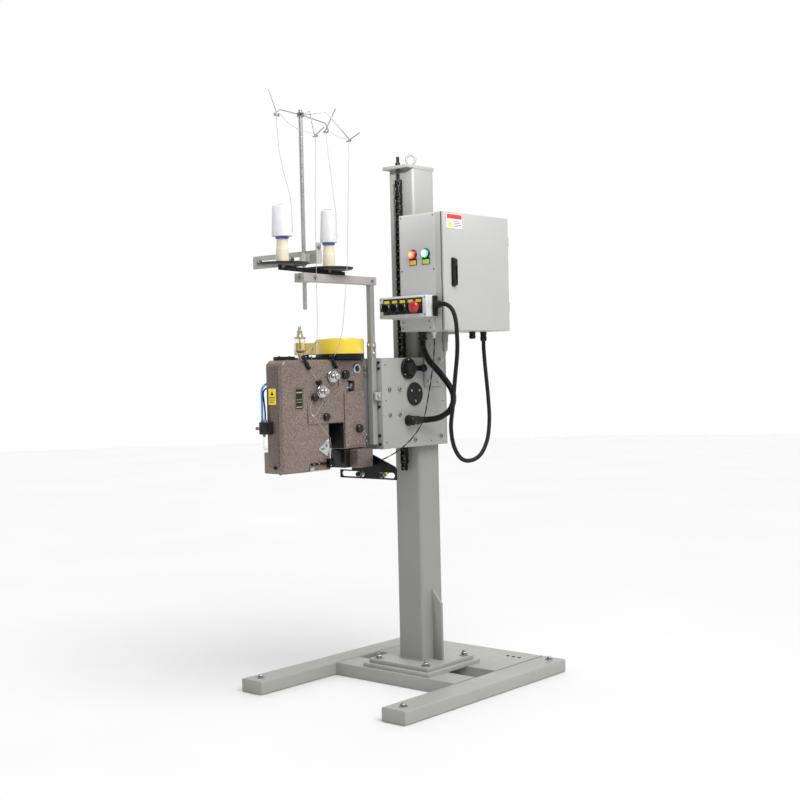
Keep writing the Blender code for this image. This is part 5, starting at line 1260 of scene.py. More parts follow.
def make_head_parts():
    """The sewing head with its mount, needle bar, presser foot and tension units."""
    make_casting()
    make_face_details()
    low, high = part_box("feed_housing")
    outline = rounded(rectangle((0.01, -0.352), (high.x, high.y)), 0.01, 10)
    # the feed cover under the arm is the dimmed hammertone, painted shade
    piece("feed_cover", "hammertone_painted_shade", [prism(outline, Z, low.z, high.z, 0.005, 4)], ("feed_housing",))
    side = block((-0.015, THROAT_RIGHT + 0.001, HEAD_LOW + 0.0015), (0.043, -0.351, HEAD_LOW + 0.0545),
                 0.002, 3)
    piece("feed_side_cover", "gloss_black", [side])
    low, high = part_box("head_mount_block")
    piece("mount_block", "motor_grey", [block(low, high, 0.0016)], ("head_mount_block",))
    bolts = []
    for z in (0.757, 0.775, 0.955, 0.973):
        bolts.append(socket_screw((high.x, -0.279, z - 0.003), X, 1, 0.0066, 0.0056))
    for z in (0.8, 0.93):
        bolts.append(socket_screw((high.x, -0.256, z), X, 1, 0.0046, 0.0036))
    piece("mount_block_bolts", "bolt_steel", bolts)
    # needle bar with its clamp and needle
    pivot = Vector((0.015, -0.44, 0.752))
    bar = turned([(-0.095, 0.0046), (-0.0945, 0.0048), (-0.0042, 0.0048), (-0.002, 0.0046),
                  (-0.0018, 0.0034), (0.0095, 0.0031), (0.0102, 0.0012), (0.011, 0.001), (0.035, 0.0008),
                  (0.039, 0.0002)], Y, pivot, 28)
    screw = socket_screw((pivot.x + 0.003, pivot.y + 0.004, pivot.z), X, 1, 0.0017, 0.0022)
    piece("needle_bar_steel", "rod_steel", [bar, screw], ("needle_bar",), body="needle_bar", origin=pivot)
    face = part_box("presser_foot")[0].x
    shoe = block((face, -0.452, 0.69), (face + 0.014, -0.43, 0.716), 0.0025, 3)
    gap = block((face - 0.01, -0.4434, 0.7085), (face + 0.03, -0.4386, 0.73))
    arm = block((face, -0.515, 0.7), (face + 0.006, -0.445, 0.706), 0.0012)
    piece("presser_shoe", "black_oxide", [cut(shoe, [gap]), arm], ("presser_foot",), body="presser_foot")
    piece("presser_screws", "bolt_steel", [domed_screw((face + 0.006, y, 0.703), X, 1, 0.0024, 0.0015)
                                           for y in (-0.508, -0.488)] + [domed_screw((face + 0.014, -0.448,
                                                                                      0.696), X, 1, 0.0026,
                                                                                     0.0015)],
          body="presser_foot")
    for node, (y, z) in TENSIONS.items():
        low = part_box(node)[0]
        disc = turned([(0.0, 0.006), (0.0038, 0.006), (0.0042, 0.015), (0.0052, 0.0168), (0.0066, 0.0172),
                       (0.0082, 0.015), (0.009, 0.012), (0.0098, 0.015), (0.0114, 0.0172),
                       (0.0128, 0.0166), (0.0138, 0.013), (0.0144, 0.0074), (0.015, 0.005),
                       (0.0228, 0.005)], X, (low.x, y, z), 48)
        coil = []
        for k in range(61):
            angle = 2 * pi * k / 12
            coil.append((low.x + 0.0146 + 0.008 * k / 60, y + 0.0062 * cos(angle),
                         z + 0.0062 * sin(angle)))
        nut = turned([(0.0226, 0.004), (0.0228, 0.008), (0.0236, 0.0088), (0.029, 0.0088), (0.03, 0.0078),
                      (0.03, 0.003), (0.029, 0.0026), (0.029, 0.0001)], X, (low.x, y, z), 32)
        teeth = rib_ring(20, X, (low.x, y, z), 0.0087, 0.0263, (0.005, 0.0008, 0.001), 0.0002)
        piece(node + "_discs", "chrome", [disc, tube(coil, 0.0008, 8), nut] + teeth, (node,), body=node)


# ---------------------------------------------------------------- belt drive and oiler

def around_pulleys(radius_a, radius_b, steps=24):
    """The line that runs round the head's pulley and the motor's pulley at these radii."""
    a, b = Vector(HEAD_PULLEY), Vector(MOTOR_PULLEY)
    way = b - a
    heading = atan2(way.y, way.x)
    spread = acos((radius_a - radius_b) / way.length)
    points = circle(a, radius_a, steps, heading + spread, 2 * pi - 2 * spread)
    return points + circle(b, radius_b, steps, heading - spread, 2 * spread)


def make_drive():
    """Sewing motor, its plate, both pulleys and the belt."""
    low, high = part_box("motor_plate")
    top = HEAD_TOP + 0.008
    plate = prism(rounded(rectangle((-0.17, -0.42), (0.04, -0.292)), 0.012, 8), Z, low.z, top, 0.0008)
    holes = [round_bar(0.98, 1.02, radius, Z, (*place, 0), 32)
             for place, radius in ((HEAD_PULLEY, 0.018), (MOTOR_PULLEY, 0.0075))]
    seat = round_bar(low.z, high.z, 0.0705, Z, (*HEAD_PULLEY, 0), 72)
    recess = round_bar(0.98, 1.03, 0.018, Z, (*HEAD_PULLEY, 0), 32)
    piece("drive_plate", "black_oxide", [cut(plate, holes), cut(seat, [recess])], ("motor_plate",))
    screws = []
    for x, y in ((-0.16, -0.41), (-0.16, -0.302), (-0.07, -0.41), (-0.07, -0.302)):
        screws.append(socket_screw((x, y, top), Z, 1, 0.005, 0.0046))
    piece("drive_plate_screws", "bolt_steel", screws)
    x, y = MOTOR_PULLEY
    can = turned([(0.8, 0.03), (0.8004, 0.044), (0.803, 0.05), (0.824, 0.0518), (0.8265, 0.0518),
                  (0.828, 0.047), (0.968, 0.047), (0.97, 0.0518), (0.9945, 0.0518), (0.9957, 0.0508)], Z,
                 (x, y, 0), 56)
    fins = rib_ring(36, Z, (x, y, 0.898), 0.047, 0.0, (0.004, 0.0018, 0.138), 0.0004)
    box = block((x - 0.048, y - 0.018, 0.865), (x - 0.02, y + 0.018, 0.925), 0.003)
    piece("sewing_motor_body", "motor_grey", [can, box] + fins, ("sewing_motor",))
    # black discs paint the shade in the motor's vent holes
    vents = [round_bar(-0.0002, -0.0004, 0.003, Z, (x + r * cos(a), y + r * sin(a), 0.8004), 10)
             for r in (0.018, 0.026) for a in turns(14)]
    piece("sewing_motor_vent_shade", "black_void", vents)
    middle = 1.025
    for node, (px, py), radius, shaft, foot in (("head_pulley", HEAD_PULLEY, 0.055, 0.008, 0.977),
                                                ("motor_pulley", MOTOR_PULLEY, 0.022, 0.006, 0.9963)):
        root = radius - 0.006
        profile = [(foot, shaft), (1.012, shaft), (1.012, shaft + 0.005), (1.015, shaft + 0.005),
                   (1.015, radius - 0.001), (1.0158, radius), (middle - 0.0058, radius),
                   (middle - 0.005, root), (middle + 0.005, root), (middle + 0.0058, radius),
                   (1.0342, radius), (1.035, radius - 0.001), (1.035, shaft + 0.005), (1.039, shaft)]
        wheel = turned(profile, Z, (px, py, 0), 64)
        if radius > 0.03:
            spots = [(px + 0.03 * cos(a), py + 0.03 * sin(a), 0) for a in turns(6)]
            wheel = cut(wheel, [round_bar(0.9, 1.1, 0.0085, Z, spot, 20) for spot in spots])
        piece(node + "_wheel", "black_oxide", [wheel], (node,), body=node)
    inner_a, inner_b, thick = 0.055 - 0.0054, 0.022 - 0.0054, 0.0045
    outer_line = around_pulleys(inner_a + thick, inner_b + thick)
    inner_line = around_pulleys(inner_a, inner_b)
    belt = sleeve(outer_line, inner_line, middle - 0.0044, middle + 0.0044, 0.001)
    piece("belt", "belt_rubber", [belt], ("drive_belt",), smooth=40)
    make_guard()
    make_oiler()


def tail_hollow(low):
    """The space inside the guard's lower tail."""
    return prism(around_pulleys(0.064, 0.036, 36), Z, low, 1.044)


def make_guard():
    """The belt guard: a drum over the head's pulley and a lower tail over the motor's."""
    rim = 1.0125
    x, y = HEAD_PULLEY
    centre = (x, y, 0)
    drum = turned([(rim, 0.0708), (1.0532, 0.071), (1.0544, 0.0705), (1.055, 0.0692)], Z, centre, 96)
    drum = cut(drum, [round_bar(rim - 0.01, 1.053, 0.069, Z, centre, 96), tail_hollow(rim - 0.01)])
    tail = cut(prism(around_pulleys(0.066, 0.038, 36), Z, rim, 1.046), [tail_hollow(rim - 0.01)])
    tail = cut(tail, [round_bar(rim - 0.01, 1.06, 0.0695, Z, centre, 96)])
    piece("guard_shell", "yellow_paint", [drum, tail], ("belt_guard",), smooth=40)
    dots = [turned([(0.0, 0.0042), (0.0006, 0.0042), (0.001, 0.003), (0.001, 0.0001)], Z,
                   (x + 0.052 * cos(a), y + 0.052 * sin(a), 1.0548), 20) for a in turns(3, radians(20))]
    piece("guard_screws", "bolt_steel", dots)
    collar = [turned([(0.0, 0.044), (0.0016, 0.044), (0.0024, 0.043), (0.0024, 0.04), (0.001, 0.0396),
                      (0.001, 0.0001)], Z, (x, y, 1.055), 64)]
    piece("guard_cap", "yellow_paint", collar)


def make_oiler():
    """The oil cup, the cover beside it and the wire hook of the left thread."""
    x, y = 0.01, -0.512
    top = HEAD_TOP + 0.0003
    brass = [turned([(top, 0.006), (1.008, 0.006), (1.0082, 0.0088), (1.0155, 0.0092), (1.016, 0.008)], Z,
                    (x, y, 0), 32), turned([(1.016, 0.008), (1.02, 0.015), (1.023, 0.0172),
                                            (1.0262, 0.0174), (1.0262, 0.012)], Z, (x, y, 0), 40),
             turned([(1.0558, 0.012), (1.0558, 0.0174), (1.0598, 0.0172), (1.0622, 0.01), (1.069, 0.0078),
                     (1.078, 0.0078), (1.079, 0.0045), (1.09, 0.0036), (1.0918, 0.003)], Z, (x, y, 0), 40),
             round_bar(1.0262, 1.0558, 0.002, Z, (x, y, 0), 16)]
    piece("oiler_brass", "brass", brass, ("oil_cup",))
    glass = turned([(1.0263, 0.0148), (1.0557, 0.0148), (1.0557, 0.0134), (1.0263, 0.0134)], Z, (x, y, 0),
                   40, ring=True)
    piece("oiler_glass", "glass", [glass])
    piece("oiler_oil", "oil", [turned([(1.0266, 0.003), (1.0266, 0.013), (1.044, 0.013), (1.044, 0.003)],
                                      Z, (x, y, 0), 32, ring=True)])
    cover = [block((-0.008, -0.6, HEAD_TOP + 0.0001), (0.028, -0.548, 1.006), 0.002)]
    piece("top_cover", "black_plastic", cover)
    piece("top_cover_screws", "bolt_steel", [socket_screw((0.01, yy, 1.006), Z, 1, 0.003, 0.0022)
                                             for yy in (-0.594, -0.554)])
    # wire hook that leads the left thread past the belt guard
    hook = bent([(0.024, -0.48, 0.996), (0.03, -0.484, 1.018), (0.044, -0.492, 1.036),
                 (0.06, -0.4985, 1.043)], 0.002)
    ring = [Vector((0.0655 + 0.0055 * cos(a), -0.5 + 0.0055 * sin(a), 1.043 + 0.0004 * k))
            for k, a in enumerate(pi + 2 * pi * j / 16 for j in range(15))]
    piece("thread_hook", "rod_steel", [tube(hook + ring[1:], 0.0011, 10)])


# ---------------------------------------------------------------- bag sensors

def make_sensors():
    """The slotted plate under the head, with its two bag sensors."""
    low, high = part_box("sensor_bracket")
    outline = [(-0.068, 0.645), (0.156, 0.645), (0.156, 0.677), (0.15, 0.684), (0.064, 0.717),
               (0.03, 0.717), (0.03, 0.7447), (-0.02, 0.7447), (-0.02, 0.6695), (-0.068, 0.6695)]
    plate = prism(rounded(outline, 0.0015, 3), Y, low.y, high.y, 0.0004, 1)
    slots = [prism(slot_line(one, two, 0.6577, 0.008, 10), Y, low.y - 0.01, high.y + 0.01)
             for one, two in ((-0.06, 0.03), (0.089, 0.149))]
    piece("sensor_plate", "black_oxide", [cut(plate, slots)], ("sensor_bracket",))
    heads, tips, nuts = [], [], []
    for x in (0.01, 0.099):
        heads.append(round_bar(0.0, 0.01, 0.0062, Y, (x, high.y + 0.0002, 0.6577), 28))
        heads.append(turned([(0.0, 0.0062), (-0.01, 0.0062), (-0.011, 0.0052), (-0.011, 0.0001)], Y,
                            (x, low.y - 0.0002, 0.6577), 28))
        tips.append(turned([(0.01, 0.006), (0.015, 0.006), (0.0162, 0.005), (0.0162, 0.0001)], Y,
                           (x, high.y, 0.6577), 28))
        for start, way in ((high.y + 0.0002, 1), (low.y - 0.0002, -1)):
            nuts.append(soften(round_bar(0.0, way * 0.0036, 0.0098, Y, (x, start, 0.6577), 6), 0.0004, 1))
        heads.append(tube(bent([(x, high.y + 0.016, 0.6577), (x, high.y + 0.021, 0.659),
                                (x + 0.006, high.y + 0.024, 0.672), (x + (0.03 if x < 0.05 else -0.012),
                                                                     high.y + 0.022, 0.69)]), 0.0018, 10))
    piece("bag_sensors", "black_plastic", heads)
    piece("bag_sensor_tips", "label_yellow", tips)
    piece("bag_sensor_nuts", "bolt_steel", nuts)
    piece("sensor_plate_screws", "bolt_steel", [socket_screw((x, low.y, 0.736), Y, -1, 0.0042, 0.004)
                                                for x in (-0.01, 0.02)])


# ---------------------------------------------------------------- thread stand

def make_stand():
    """Upright, arm, post, tray bar and slotted cross bar of the thread stand."""
    x0, y0, size = 0.043, -0.2703, 0.02
    low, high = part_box("stand_upright")
    sleeve = prism(rounded(rectangle((x0, y0), (x0 + size, y0 + size)), 0.0022, 4), Z, low.z, 1.045,
                   0.0004, 1)
    inner = prism(rounded(rectangle((x0 + 0.0015, y0 + 0.0015), (x0 + size - 0.0015, y0 + size - 0.0015)),
                          0.002, 4), Z, 1.04, high.z)
    piece("upright_tube", "column_paint", [sleeve, inner], ("stand_upright",))
    bolts = []
    for z in (1.033, 1.012):
        bolts.extend(hex_bolt((x0 + size, y0 + size / 2, z), X, 1, 0.0052, 0.0058, 1.25))
    for z in (1.036,):
        bolts.extend(hex_bolt((x0 + size / 2, y0, z), Y, -1, 0.0052, 0.0058, 1.25))
    piece("upright_bolts", "bolt_zinc", bolts)
    low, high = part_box("stand_arm")
    px, py = POST
    clamp = block((px - 0.015, py - 0.025, 1.211), (px + 0.024, py + 0.015, 1.237), 0.0025, 3)
    bore = round_bar(1.2, 1.26, 0.0063, Z, (px, py, 0), 32)
    clamp = cut(clamp, [bore])
    beam = prism(rounded(rectangle((x0, 1.212), (x0 + size, 1.236)), 0.0024, 4), Y, py + 0.011, high.y,
                 0.0005, 1)
    bead = [weld([(x0 + 0.002, -0.27, 1.2117), (x0 + size - 0.002, -0.27, 1.2117)], 0.0012)]
    piece("arm_beam", "arm_paint", [clamp, beam] + bead, ("stand_arm",))
    screws = [socket_screw((x0 + size, y, 1.224), X, 1, 0.0042, 0.0036) for y in (-0.498, -0.262)]
    screws += hex_bolt((px + 0.004, py - 0.025, 1.224), Y, -1, 0.0046, 0.0044, 1.2)
    piece("arm_screws", "bolt_steel", screws)
    plug = block((x0 + 0.0015, high.y - 0.0005, 1.2135), (x0 + size - 0.0015, high.y + 0.0018, 1.2345),
                 0.0008)
    piece("arm_end_plug", "black_plastic", [plug])
    low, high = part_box("stand_post")
    post = turned([(low.z, 0.0052), (low.z + 0.0008, 0.006), (high.z - 0.0012, 0.006), (high.z, 0.0048)],
                  Z, (px, py, 0), 32)
    piece("post_rod", "steel", [post], ("stand_post",))
    # tray bar, its clamp on the post, and the slotted cross bar
    low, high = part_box("tray_bar")
    x, y = BAR_MIDDLE
    bar = block((x - 0.0015, y - 0.135, low.z), (x + 0.0015, y + 0.198, high.z), 0.0004, 1)
    spun(bar, BAR_TURN, Z, (x, y, 0.0))
    piece("tray_support_bar", "black_oxide", [bar], ("tray_bar",))
    low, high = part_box("slotted_bar")
    outline = rounded(rectangle((px - 0.216, 1.262), (px + 0.06, 1.299)), 0.005, 6)
    cross = prism(outline, Y, py + 0.0075, py + 0.0115, 0.0005, 1)
    cross = cut(cross, [prism(slot_line(px - 0.202, px - 0.02, 1.28, 0.0045, 10), Y, py, py + 0.02)])
    lug = block((px + 0.056, py - 0.01, 1.26), (px + 0.06, py + 0.009, 1.318), 0.0006, 1)
    piece("cross_bar", "bar_paint", [cross, lug], ("slotted_bar",))
    bolts = []
    for x in (px - 0.19, px - 0.06):
        bolts.extend(hex_bolt((x, py + 0.0075, 1.28), Y, -1, 0.0062, 0.006, 1.35))
        bolts.extend(hex_bolt((x, py + 0.0115, 1.28), Y, 1, 0.0062, 0.006, 1.35))
    bolts.extend(hex_bolt((px + 0.06, py - 0.001, 1.306), X, 1, 0.0052, 0.005, 1.3))
    piece("cross_bar_bolts", "bolt_steel", bolts)
    clamp = turned([(1.268, 0.0064), (1.268, 0.0118), (1.291, 0.0118), (1.291, 0.0064)], Z, (px, py, 0),
                   36, ring=True)
    ears = block((px + 0.009, py - 0.0035, 1.2695), (px + 0.021, py + 0.0035, 1.2895), 0.0006)
    piece("post_clamp", "bar_paint", [clamp, ears])
    make_trays_and_cones()
    make_guides()


def make_trays_and_cones():
    """Trays, pegs and the two packages of thread."""
    for name, (cx, cy) in CONE_PLACES.items():
        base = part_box("cone_tray_" + name)[0].z
        dish = turned([(base, 0.064), (base + 0.0006, 0.0655), (base + 0.003, 0.0686),
                       (base + 0.0067, 0.069), (base + 0.0067, 0.0672), (base + 0.0045, 0.066),
                       (base + 0.0045, 0.05), (base + 0.0058, 0.0485), (base + 0.0058, 0.046),
                       (base + 0.0045, 0.0445), (base + 0.0045, 0.02), (base + 0.007, 0.019),
                       (base + 0.007, 0.017)], Z, (cx, cy, 0), 96)
        ribs = rib_ring(8, Z, (cx, cy, base), 0.0325, 0.0048, (0.023, 0.0012, 0.0018), start=BAR_TURN)
        piece("tray_dish_" + name, "tray_plastic", [dish] + ribs, ("cone_tray_" + name,))
        low_radius, top_radius, top = CONES[name]
        holder = turned([(base + 0.005, 0.018), (base + 0.009, 0.018), (1.2955, 0.0172), (1.2965, 0.0164),
                         (1.3205, 0.0148), (1.3215, 0.014), (1.333, 0.011), (top - 0.021, 0.0085),
                         (top - 0.014, 0.0075), (top - 0.012, 0.006)], Z, (cx, cy, 0), 40)
        piece("cone_peg_" + name, "cream_plastic", [holder])
        piece("tray_bolt_" + name, "bolt_steel", hex_bolt((cx, cy, base), Z, -1, 0.0058, 0.006, 1.4))
        # paper-white package of thread on its plastic core
        centre = Vector((cx, cy, (CONE_LOW + top) / 2))
        half = (top - CONE_LOW) / 2
        pack = turned([(-half, 0.0182), (-half, low_radius - 0.0016),
                       (-half + 0.0012, low_radius - 0.0002), (-half + 0.003, low_radius),
                       (half - 0.0044, top_radius + 0.0002), (half - 0.0016, top_radius - 0.0008),
                       (half - 0.0002, top_radius - 0.0028), (half, 0.0125)], Z, (0, 0, 0), 72)
        bmesh.ops.translate(pack, verts=pack.verts, vec=centre)
        piece("thread_pack_" + name, "cone_thread", [pack], ("thread_cone_" + name,), origin=centre)
        core = turned([(-half - 0.006, 0.016), (-half - 0.006, 0.018), (-half - 0.0004, 0.0184),
                       (half - 0.001, 0.0126), (half + 0.0012, 0.0118), (half + 0.002, 0.011),
                       (half + 0.002, 0.0096)], Z, centre, 40)
        tip_hole = round_bar(half - 0.012, half + 0.01, 0.0094, Z, centre, 32)
        piece("cone_core_" + name, "blue_plastic", [cut(core, [tip_hole])])


def guide_wire(hub, bend, eye, tip):
    """From the hub to a bend, once round the eye and out to the tip, along the eye's tangents."""
    bend, tip = Vector(bend), Vector(tip)
    inward, outward = eye - bend, tip - eye
    first = atan2(inward.y, inward.x) - pi / 2
    sweep = (atan2(outward.y, outward.x) - atan2(inward.y, inward.x)) % (2 * pi)
    if sweep < 1.5 * pi:
        sweep += 2 * pi
    flat = Vector((bend.x - hub.x, bend.y - hub.y, 0.0)).normalized()
    points = [hub + flat * 0.007, bend]
    steps = round(30 * sweep / (2 * pi))
    for k in range(steps + 1):
        angle = first + sweep * k / steps
        height = 0.0015 * 2.6 * sweep / (2 * pi) * (0.5 - k / steps)
        points.append(eye + Vector((0.007 * cos(angle), 0.007 * sin(angle), height)))
    points.append(tip)
    return tube(points, 0.0015, 12)


def make_guides():
    """The wire guides on the post's top."""
    hub = Vector((*POST, 1.676))
    rear_left, rear_right, front_left, front_right = guide_eyes()
    collar = turned([(-0.006, 0.0064), (-0.006, 0.0096), (-0.0054, 0.0102), (0.0054, 0.0102),
                     (0.006, 0.0096), (0.006, 0.0064)], Z, hub, 36, ring=True)
    wires = [guide_wire(hub, rear_left + Vector((-0.004, 0.016, 0.017)), rear_left,
                        rear_left + Vector((-0.024, -0.004, 0.073))),
             guide_wire(hub, rear_right + Vector((0.004, -0.006, 0.023)), rear_right,
                        rear_right + Vector((0.036, 0.004, 0.061))),
             guide_wire(hub, (0.056, -0.498, 1.688), front_left,
                        front_left + Vector((0.029, 0.006, 0.022))),
             guide_wire(hub, (0.092, -0.468, 1.684), front_right,
                        front_right + Vector((0.038, 0.005, 0.019)))]
    piece("guide_wires", "rod_steel", [collar] + wires, ("thread_guides",))
    piece("guide_hub_screw", "black_bolt", [spun(socket_screw((hub.x + 0.01, hub.y, hub.z), X, 1, 0.003,
                                                              0.005), radians(-40), Z, hub)])


# ---------------------------------------------------------------- switch cabinet

CAB_BACK, CAB_FRONT = 0.0716, 0.229
CAB_LEFT, CAB_RIGHT = -0.145, 0.1745
CAB_LOW, CAB_TOP = 1.075, 1.4215


def make_cabinet():
    """The cabinet's shell, seal and what is mounted inside."""
    sheet = 0.003
    shell = soften(block((CAB_BACK, CAB_LEFT, CAB_LOW), (CAB_FRONT, CAB_RIGHT, CAB_TOP)), 0.004, 4,
                   axis=X)
    inside = block((CAB_BACK + sheet, CAB_LEFT + sheet, CAB_LOW + sheet),
                   (CAB_FRONT + 0.01, CAB_RIGHT - sheet, CAB_TOP - sheet))
    shell = cut(shell, [inside])
    # turned-in flange round the opening, with the seal groove's step
    lip = block((CAB_FRONT - 0.002, CAB_LEFT + 0.001, CAB_LOW + 0.001),
                (CAB_FRONT - 0.0002, CAB_RIGHT - 0.001, CAB_TOP - 0.001))
    lip = cut(lip, [block((CAB_FRONT - 0.02, CAB_LEFT + 0.014, CAB_LOW + 0.014),
                          (CAB_FRONT + 0.01, CAB_RIGHT - 0.014, CAB_TOP - 0.014))])
    piece("cabinet_shell", "cabinet_paint", [shell, lip], ("cabinet_body",))
    seal = block((CAB_FRONT - 0.0003, CAB_LEFT + 0.0012, CAB_LOW + 0.0012),
                 (CAB_FRONT + 0.002, CAB_RIGHT - 0.004, CAB_TOP - 0.0012))
    seal = cut(seal, [block((CAB_FRONT - 0.02, CAB_LEFT + 0.01, CAB_LOW + 0.01),
                            (CAB_FRONT + 0.01, CAB_RIGHT - 0.01, CAB_TOP - 0.01))])
    piece("cabinet_seal", "rubber", [seal])
    # mounting plate and drive unit inside
    back = CAB_BACK + sheet
    plate = [block((back + 0.006, -0.12, 1.1), (back + 0.008, 0.15, 1.397), 0.0005, 1)]
    plate += [block((back, y - 0.006, z - 0.006), (back + 0.007, y + 0.006, z + 0.006), 0.001)
              for y in (-0.105, 0.135) for z in (1.115, 1.382)]
    piece("inner_plate", "sheet_steel", plate, ("mounting_plate",))
    drive = [block((back + 0.007, -0.06, 1.17), (back + 0.094, 0.05, 1.33), 0.004, 3),
             block((back + 0.093, -0.052, 1.24), (back + 0.0948, 0.042, 1.322), 0.001, 1)]
    drive += [block((back + 0.02, -0.056 + k * 0.008, 1.3295), (back + 0.085, -0.052 + k * 0.008, 1.331))
              for k in range(13)]
    piece("drive_unit", "black_plastic", drive)
    face = back + 0.0948
    keys = [block((face - 0.0004, -0.045 + k * 0.016, 1.25), (face + 0.0012, -0.034 + k * 0.016, 1.258),
                  0.0006, 1) for k in range(5)]
    keys.append(block((face - 0.0004, -0.04, 1.292), (face + 0.0008, 0.03, 1.312), 0.0006, 1))
    piece("drive_unit_keys", "box_plastic", keys)
    rails = [block((back + 0.008, -0.11, z), (back + 0.016, 0.14, z + 0.035), 0.0005, 1) for z in (1.35,)]
    rails += [block((back + 0.016, -0.106 + k * 0.0085, 1.346), (back + 0.055, -0.0985 + k * 0.0085, 1.39),
                    0.0008, 1) for k in range(28)]
    piece("terminal_row", "box_plastic", rails)
    duct = [block((back + 0.008, 0.062, 1.12), (back + 0.05, 0.092, 1.335), 0.001, 1),
            block((back + 0.008, -0.115, 1.112), (back + 0.05, 0.06, 1.14), 0.001, 1)]
    piece("wiring_duct", "motor_grey", duct)
    make_lamp_panel()
    make_door()
    make_underside()


def make_lamp_panel():
    """The panel on the cabinet's front side, with its two lit lamps."""
    face = CAB_LEFT - 0.0008
    panel = block((0.0745, face, 1.1), (0.207, CAB_LEFT + 0.0005, 1.418), 0.0006, 1)
    piece("lamp_panel", "panel_paint", [panel])
    piece("panel_screws", "bolt_steel", [domed_screw((x, face, z), Y, -1, 0.003, 0.0016)
                                         for x in (0.079, 0.202) for z in (1.413, 1.255, 1.106)])
    low_bolts = []
    for x, z in ((0.086, 1.103), (0.186, 1.103), (0.084, 1.084), (0.19, 1.084)):
        low_bolts.append(domed_screw((x, CAB_LEFT - 0.0068, z), Y, -1, 0.0032, 0.0018))
    piece("bracket_screws", "bolt_steel", low_bolts)
    bezels, holders = [], []
    for x, look in ((0.124, "orange"), (0.174, "green")):
        bezels.append(turned([(0.0, 0.015), (-0.003, 0.015), (-0.0042, 0.014), (-0.006, 0.0128),
                              (-0.0062, 0.0116), (-0.003, 0.0114), (-0.003, 0.0001)], Y, (x, face, 1.302),
                             48))
        holders.append(block((x - 0.015, face - 0.0016, 1.27), (x + 0.015, face + 0.0002, 1.29), 0.0006,
                             1))
        plate = block((x - 0.0128, face - 0.0022, 1.272), (x + 0.0128, face - 0.0014, 1.285), 0.0003, 1)
        piece("lamp_legend_" + look, "legend_" + look, [plate])
    piece("lamp_bezels", "gloss_black", bezels + holders)
    for name, x in (("red_lamp", 0.124), ("green_lamp", 0.174)):
        lens = turned([(-0.0025, 0.0116), (-0.0075, 0.0116), (-0.01, 0.0108), (-0.012, 0.0086),
                       (-0.0132, 0.005), (-0.0136, 0.0001)], Y, (x, face, 1.302), 48)
        piece(name, name, [lens], origin=(x, face, 1.302))


def make_door():
    """The cabinet's door, its hinges, warning label and latch."""
    door_in, door_out = 0.2315, 0.2395
    pivot = (0.229, 0.1815, (CAB_LOW + CAB_TOP) / 2)
    pan = soften(block((door_in, CAB_LEFT, CAB_LOW), (door_out, CAB_RIGHT, CAB_TOP)), 0.0024, 3)
    hollow = block((door_in - 0.01, CAB_LEFT + 0.002, CAB_LOW + 0.002),
                   (door_out - 0.002, CAB_RIGHT - 0.002, CAB_TOP - 0.002))
    parts = [cut(pan, [hollow])]
    for z in (1.15, 1.35):
        parts.append(turned([(z - 0.015, 0.0042), (z - 0.0144, 0.0045), (z + 0.0144, 0.0045),
                             (z + 0.015, 0.0042)], Z, (pivot[0], pivot[1], 0), 24))
        parts.append(block((door_in, CAB_RIGHT - 0.001, z - 0.014),
                           (door_in + 0.004, pivot[1] + 0.001, z + 0.014), 0.0008))
    piece("door_panel", "cabinet_paint", parts, ("cabinet_door",), body="cabinet_door")
    face = door_out
    plate = block((face, -0.128, 1.374), (face + 0.0004, -0.056, 1.415))
    piece("door_label", "label_white", [plate], body="cabinet_door")
    piece("door_label_band", "label_red", [block((face + 0.0003, -0.127, 1.401),
                                                 (face + 0.0006, -0.057, 1.414))], body="cabinet_door")
    piece("door_label_sign", "label_yellow", [prism(rounded([(-0.125, 1.377), (-0.101, 1.377),
                                                             (-0.113, 1.3975)], 0.0012, 3), X,
                                                    face + 0.0003, face + 0.0006)], body="cabinet_door")
    marks = [prism([(-0.1138, 1.3935), (-0.115, 1.3862), (-0.1128, 1.3866), (-0.1134, 1.38),
                    (-0.1112, 1.388), (-0.1132, 1.3876)], X, face + 0.0006, face + 0.0008)]
    marks += [block((face + 0.0003, -0.096, z), (face + 0.0006, end, z + 0.0018))
              for z, end in ((1.393, -0.06), (1.388, -0.064), (1.383, -0.06), (1.378, -0.07))]
    piece("door_label_lines", "label_black", marks, body="cabinet_door")
    inner = [block((door_out - 0.0045, CAB_LEFT + 0.012, z),
                   (door_out - 0.0021, CAB_RIGHT - 0.012, z + 0.018), 0.0006, 1)
             for z in (CAB_LOW + 0.03, CAB_TOP - 0.05)]
    piece("door_stiffeners", "panel_paint", inner, body="cabinet_door")
    # latch: a black escutcheon on the door and its lift-out lever
    low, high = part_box("door_latch")
    y, z = -0.1, 1.246
    frame_plate = prism(rounded(rectangle((y - 0.011, z - 0.043), (y + 0.011, z + 0.042)), 0.006, 8), X,
                        face - 0.0001, face + 0.0002)
    piece("latch_seat", "black_void", [frame_plate], body="cabinet_door")
    lever = prism(rounded(rectangle((y - 0.0094, z - 0.04), (y + 0.0094, z + 0.038)), 0.005, 8), X, low.x,
                  high.x, 0.0016, 3)
    dish = prism(rounded(rectangle((y - 0.006, z - 0.03), (y + 0.006, z + 0.016)), 0.004, 6), X,
                 low.x + 0.006, high.x + 0.01)
    lock = turned([(0.0, 0.0052), (0.001, 0.0052), (0.0014, 0.0046), (0.0014, 0.0001)], X,
                  (high.x - 0.0004, y, z + 0.027), 28)
    piece("latch_lever", "black_plastic", [cut(lever, [dish]), lock], ("door_latch",), body="door_latch")


